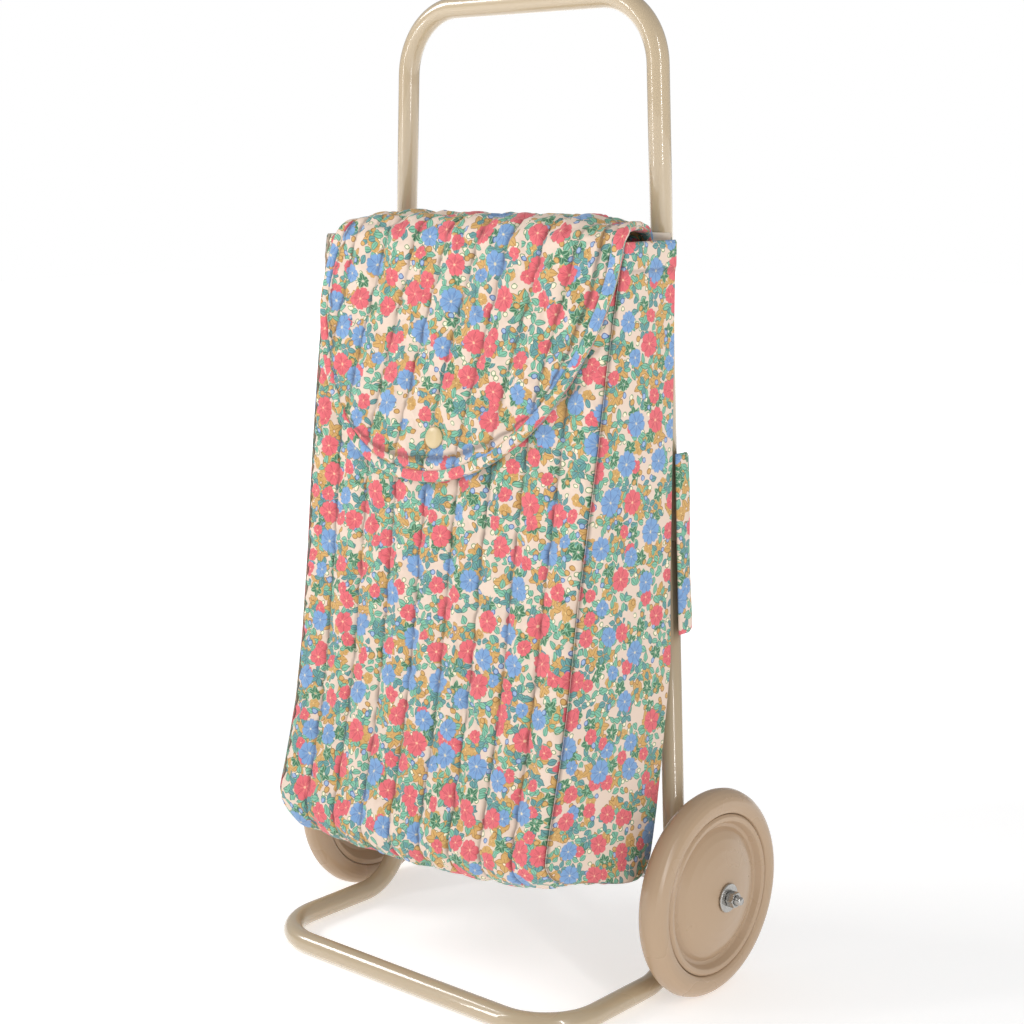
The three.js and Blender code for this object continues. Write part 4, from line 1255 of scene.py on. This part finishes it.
class TROLLEY_OT_stage(bpy.types.Operator):
    """Puts up a plain pale floor that glows as painted light, soft light and the camera"""

    bl_idname = "trolley.stage"
    bl_label = "Stage"

    def execute(self, context):
        props = context.scene.trolley_stage
        graph = Graph("studio_floor")
        speck = graph.noise(graph.coords(), 3.0, 2.0)["Fac"]
        graph.set(Base_Color=graph.mix(speck, tuple(props.floor), (0.95, 0.95, 0.95)), Roughness=0.9)
        # Painted light: the floor glows at the floor glow setting near the middle, brighter further out, up
        # to full strength
        graph.shader.inputs["Emission Color"].default_value = (1, 1, 1, 1)
        far = graph.node("VectorMath", [graph.coords()], operation="LENGTH").outputs["Value"]
        glow = graph.math("MULTIPLY_ADD", graph.minus(far, 0.45), 0.5, props.glow)
        glow = graph.math("MAXIMUM", glow, props.glow)
        graph.set(Emission_Strength=graph.math("MINIMUM", glow, 1.0))
        half = 6000.0
        points = np.array([(-half, -half, 0), (half, -half, 0), (half, half, 0), (-half, half, 0)], float)
        mesh = bpy.data.meshes.new("floor")
        mesh.from_pydata((points * MM).tolist(), [], [[0, 1, 2, 3]])
        mesh.materials.append(graph.material)
        floor = bpy.data.objects.new("floor", mesh)
        context.scene.collection.objects.link(floor)
        floor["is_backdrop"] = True
        world = bpy.data.worlds.new("studio")
        world.use_nodes = True
        tree = world.node_tree
        soft = tree.nodes["Background"]
        soft.inputs[0].default_value, soft.inputs[1].default_value = (1, 1, 1, 1), props.fill
        sweep = tree.nodes.new("ShaderNodeBackground")
        sweep.inputs[0].default_value, sweep.inputs[1].default_value = (1, 1, 1, 1), 1.0
        blend = tree.nodes.new("ShaderNodeMixShader")
        tree.links.new(tree.nodes.new("ShaderNodeLightPath").outputs["Is Camera Ray"], blend.inputs[0])
        tree.links.new(soft.outputs[0], blend.inputs[1])
        tree.links.new(sweep.outputs[0], blend.inputs[2])
        tree.links.new(blend.outputs[0], tree.nodes["World Output"].inputs[0])
        context.scene.world = world
        for name, place, aim, size, power in (
                ("key", (-1.5, -0.9, 1.4), (0, 0, 0.25), (0.6, 0.6), props.key),
                ("left_strip", (-0.75, -1.2, 0.7), (0, 0, 0.4), (0.07, 1.3), props.key * 0.36),
                ("right_strip", (1.36, -0.6, 0.75), (0, 0, 0.35), (0.08, 1.3), props.key * 0.55)):
            light = bpy.data.lights.new(name, "AREA")
            light.shape, light.size, light.size_y = "RECTANGLE", *size
            light.energy = power
            lamp = bpy.data.objects.new(name, light)
            lamp.matrix_world = Matrix.Translation(place) @ look(np.array(place) - np.array(aim))
            context.scene.collection.objects.link(lamp)
        camera = bpy.data.cameras.new("camera")
        camera.lens, camera.sensor_width = 67.481, 36.0
        camera.clip_start, camera.clip_end = 0.05, 30
        eye = np.array([0.72854, -0.81667, 0.46398])
        aim = np.array([-0.012279, 0.028615, 0.260419])
        view = bpy.data.objects.new("camera", camera)
        roll = Matrix.Rotation(math.radians(-0.2), 4, "Z")
        view.matrix_world = Matrix.Translation(eye) @ look(eye - aim) @ roll
        context.scene.collection.objects.link(view)
        context.scene.camera = view
        context.scene.view_settings.view_transform = "Standard"
        return {"FINISHED"}


def look(backwards):
    """A turn whose Z axis points backwards along a line of sight, with X level."""
    back = unit(np.asarray(backwards, float))
    right = unit(np.cross([0.0, 0.0, 1.0], back))
    up = np.cross(back, right)
    return Matrix(np.column_stack([right, up, back]).tolist()).to_4x4()


class TROLLEY_PT_panel(bpy.types.Panel):
    """Lists the trolley's settings and builders"""

    bl_idname = "TROLLEY_PT_panel"
    bl_label = "Play trolley"
    bl_space_type = "VIEW_3D"
    bl_region_type = "UI"
    bl_category = "Trolley"

    def draw(self, context):
        for settings in (context.scene.trolley_frame, context.scene.trolley_bag, context.scene.trolley_stage):
            box = self.layout.box()
            for key in settings.__annotations__:
                box.prop(settings, key)
        for operator in OPERATORS:
            self.layout.operator(operator.bl_idname)


OPERATORS = (TROLLEY_OT_stage, TROLLEY_OT_tubes, TROLLEY_OT_wheels, TROLLEY_OT_axle, TROLLEY_OT_bag,
             TROLLEY_OT_flap, TROLLEY_OT_snap, TROLLEY_OT_bands)
SETTINGS = (("trolley_frame", TrolleyFrameSettings), ("trolley_bag", TrolleyBagSettings),
            ("trolley_stage", TrolleyStageSettings))


def register():
    for cls in (*(group for _, group in SETTINGS), *OPERATORS, TROLLEY_PT_panel):
        bpy.utils.register_class(cls)
    for name, group in SETTINGS:
        setattr(bpy.types.Scene, name, PointerProperty(type=group))


def unregister():
    for name, _ in SETTINGS:
        delattr(bpy.types.Scene, name)
    for cls in reversed((*(group for _, group in SETTINGS), *OPERATORS, TROLLEY_PT_panel)):
        bpy.utils.unregister_class(cls)


def main():
    cad = [list(corner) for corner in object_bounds()]
    register()
    for operator in OPERATORS:
        group, name = operator.bl_idname.split(".")
        getattr(getattr(bpy.ops, group), name)()
    {"cad": cad, "visual": [list(corner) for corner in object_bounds()]}


if __name__ == "__main__":
    main()
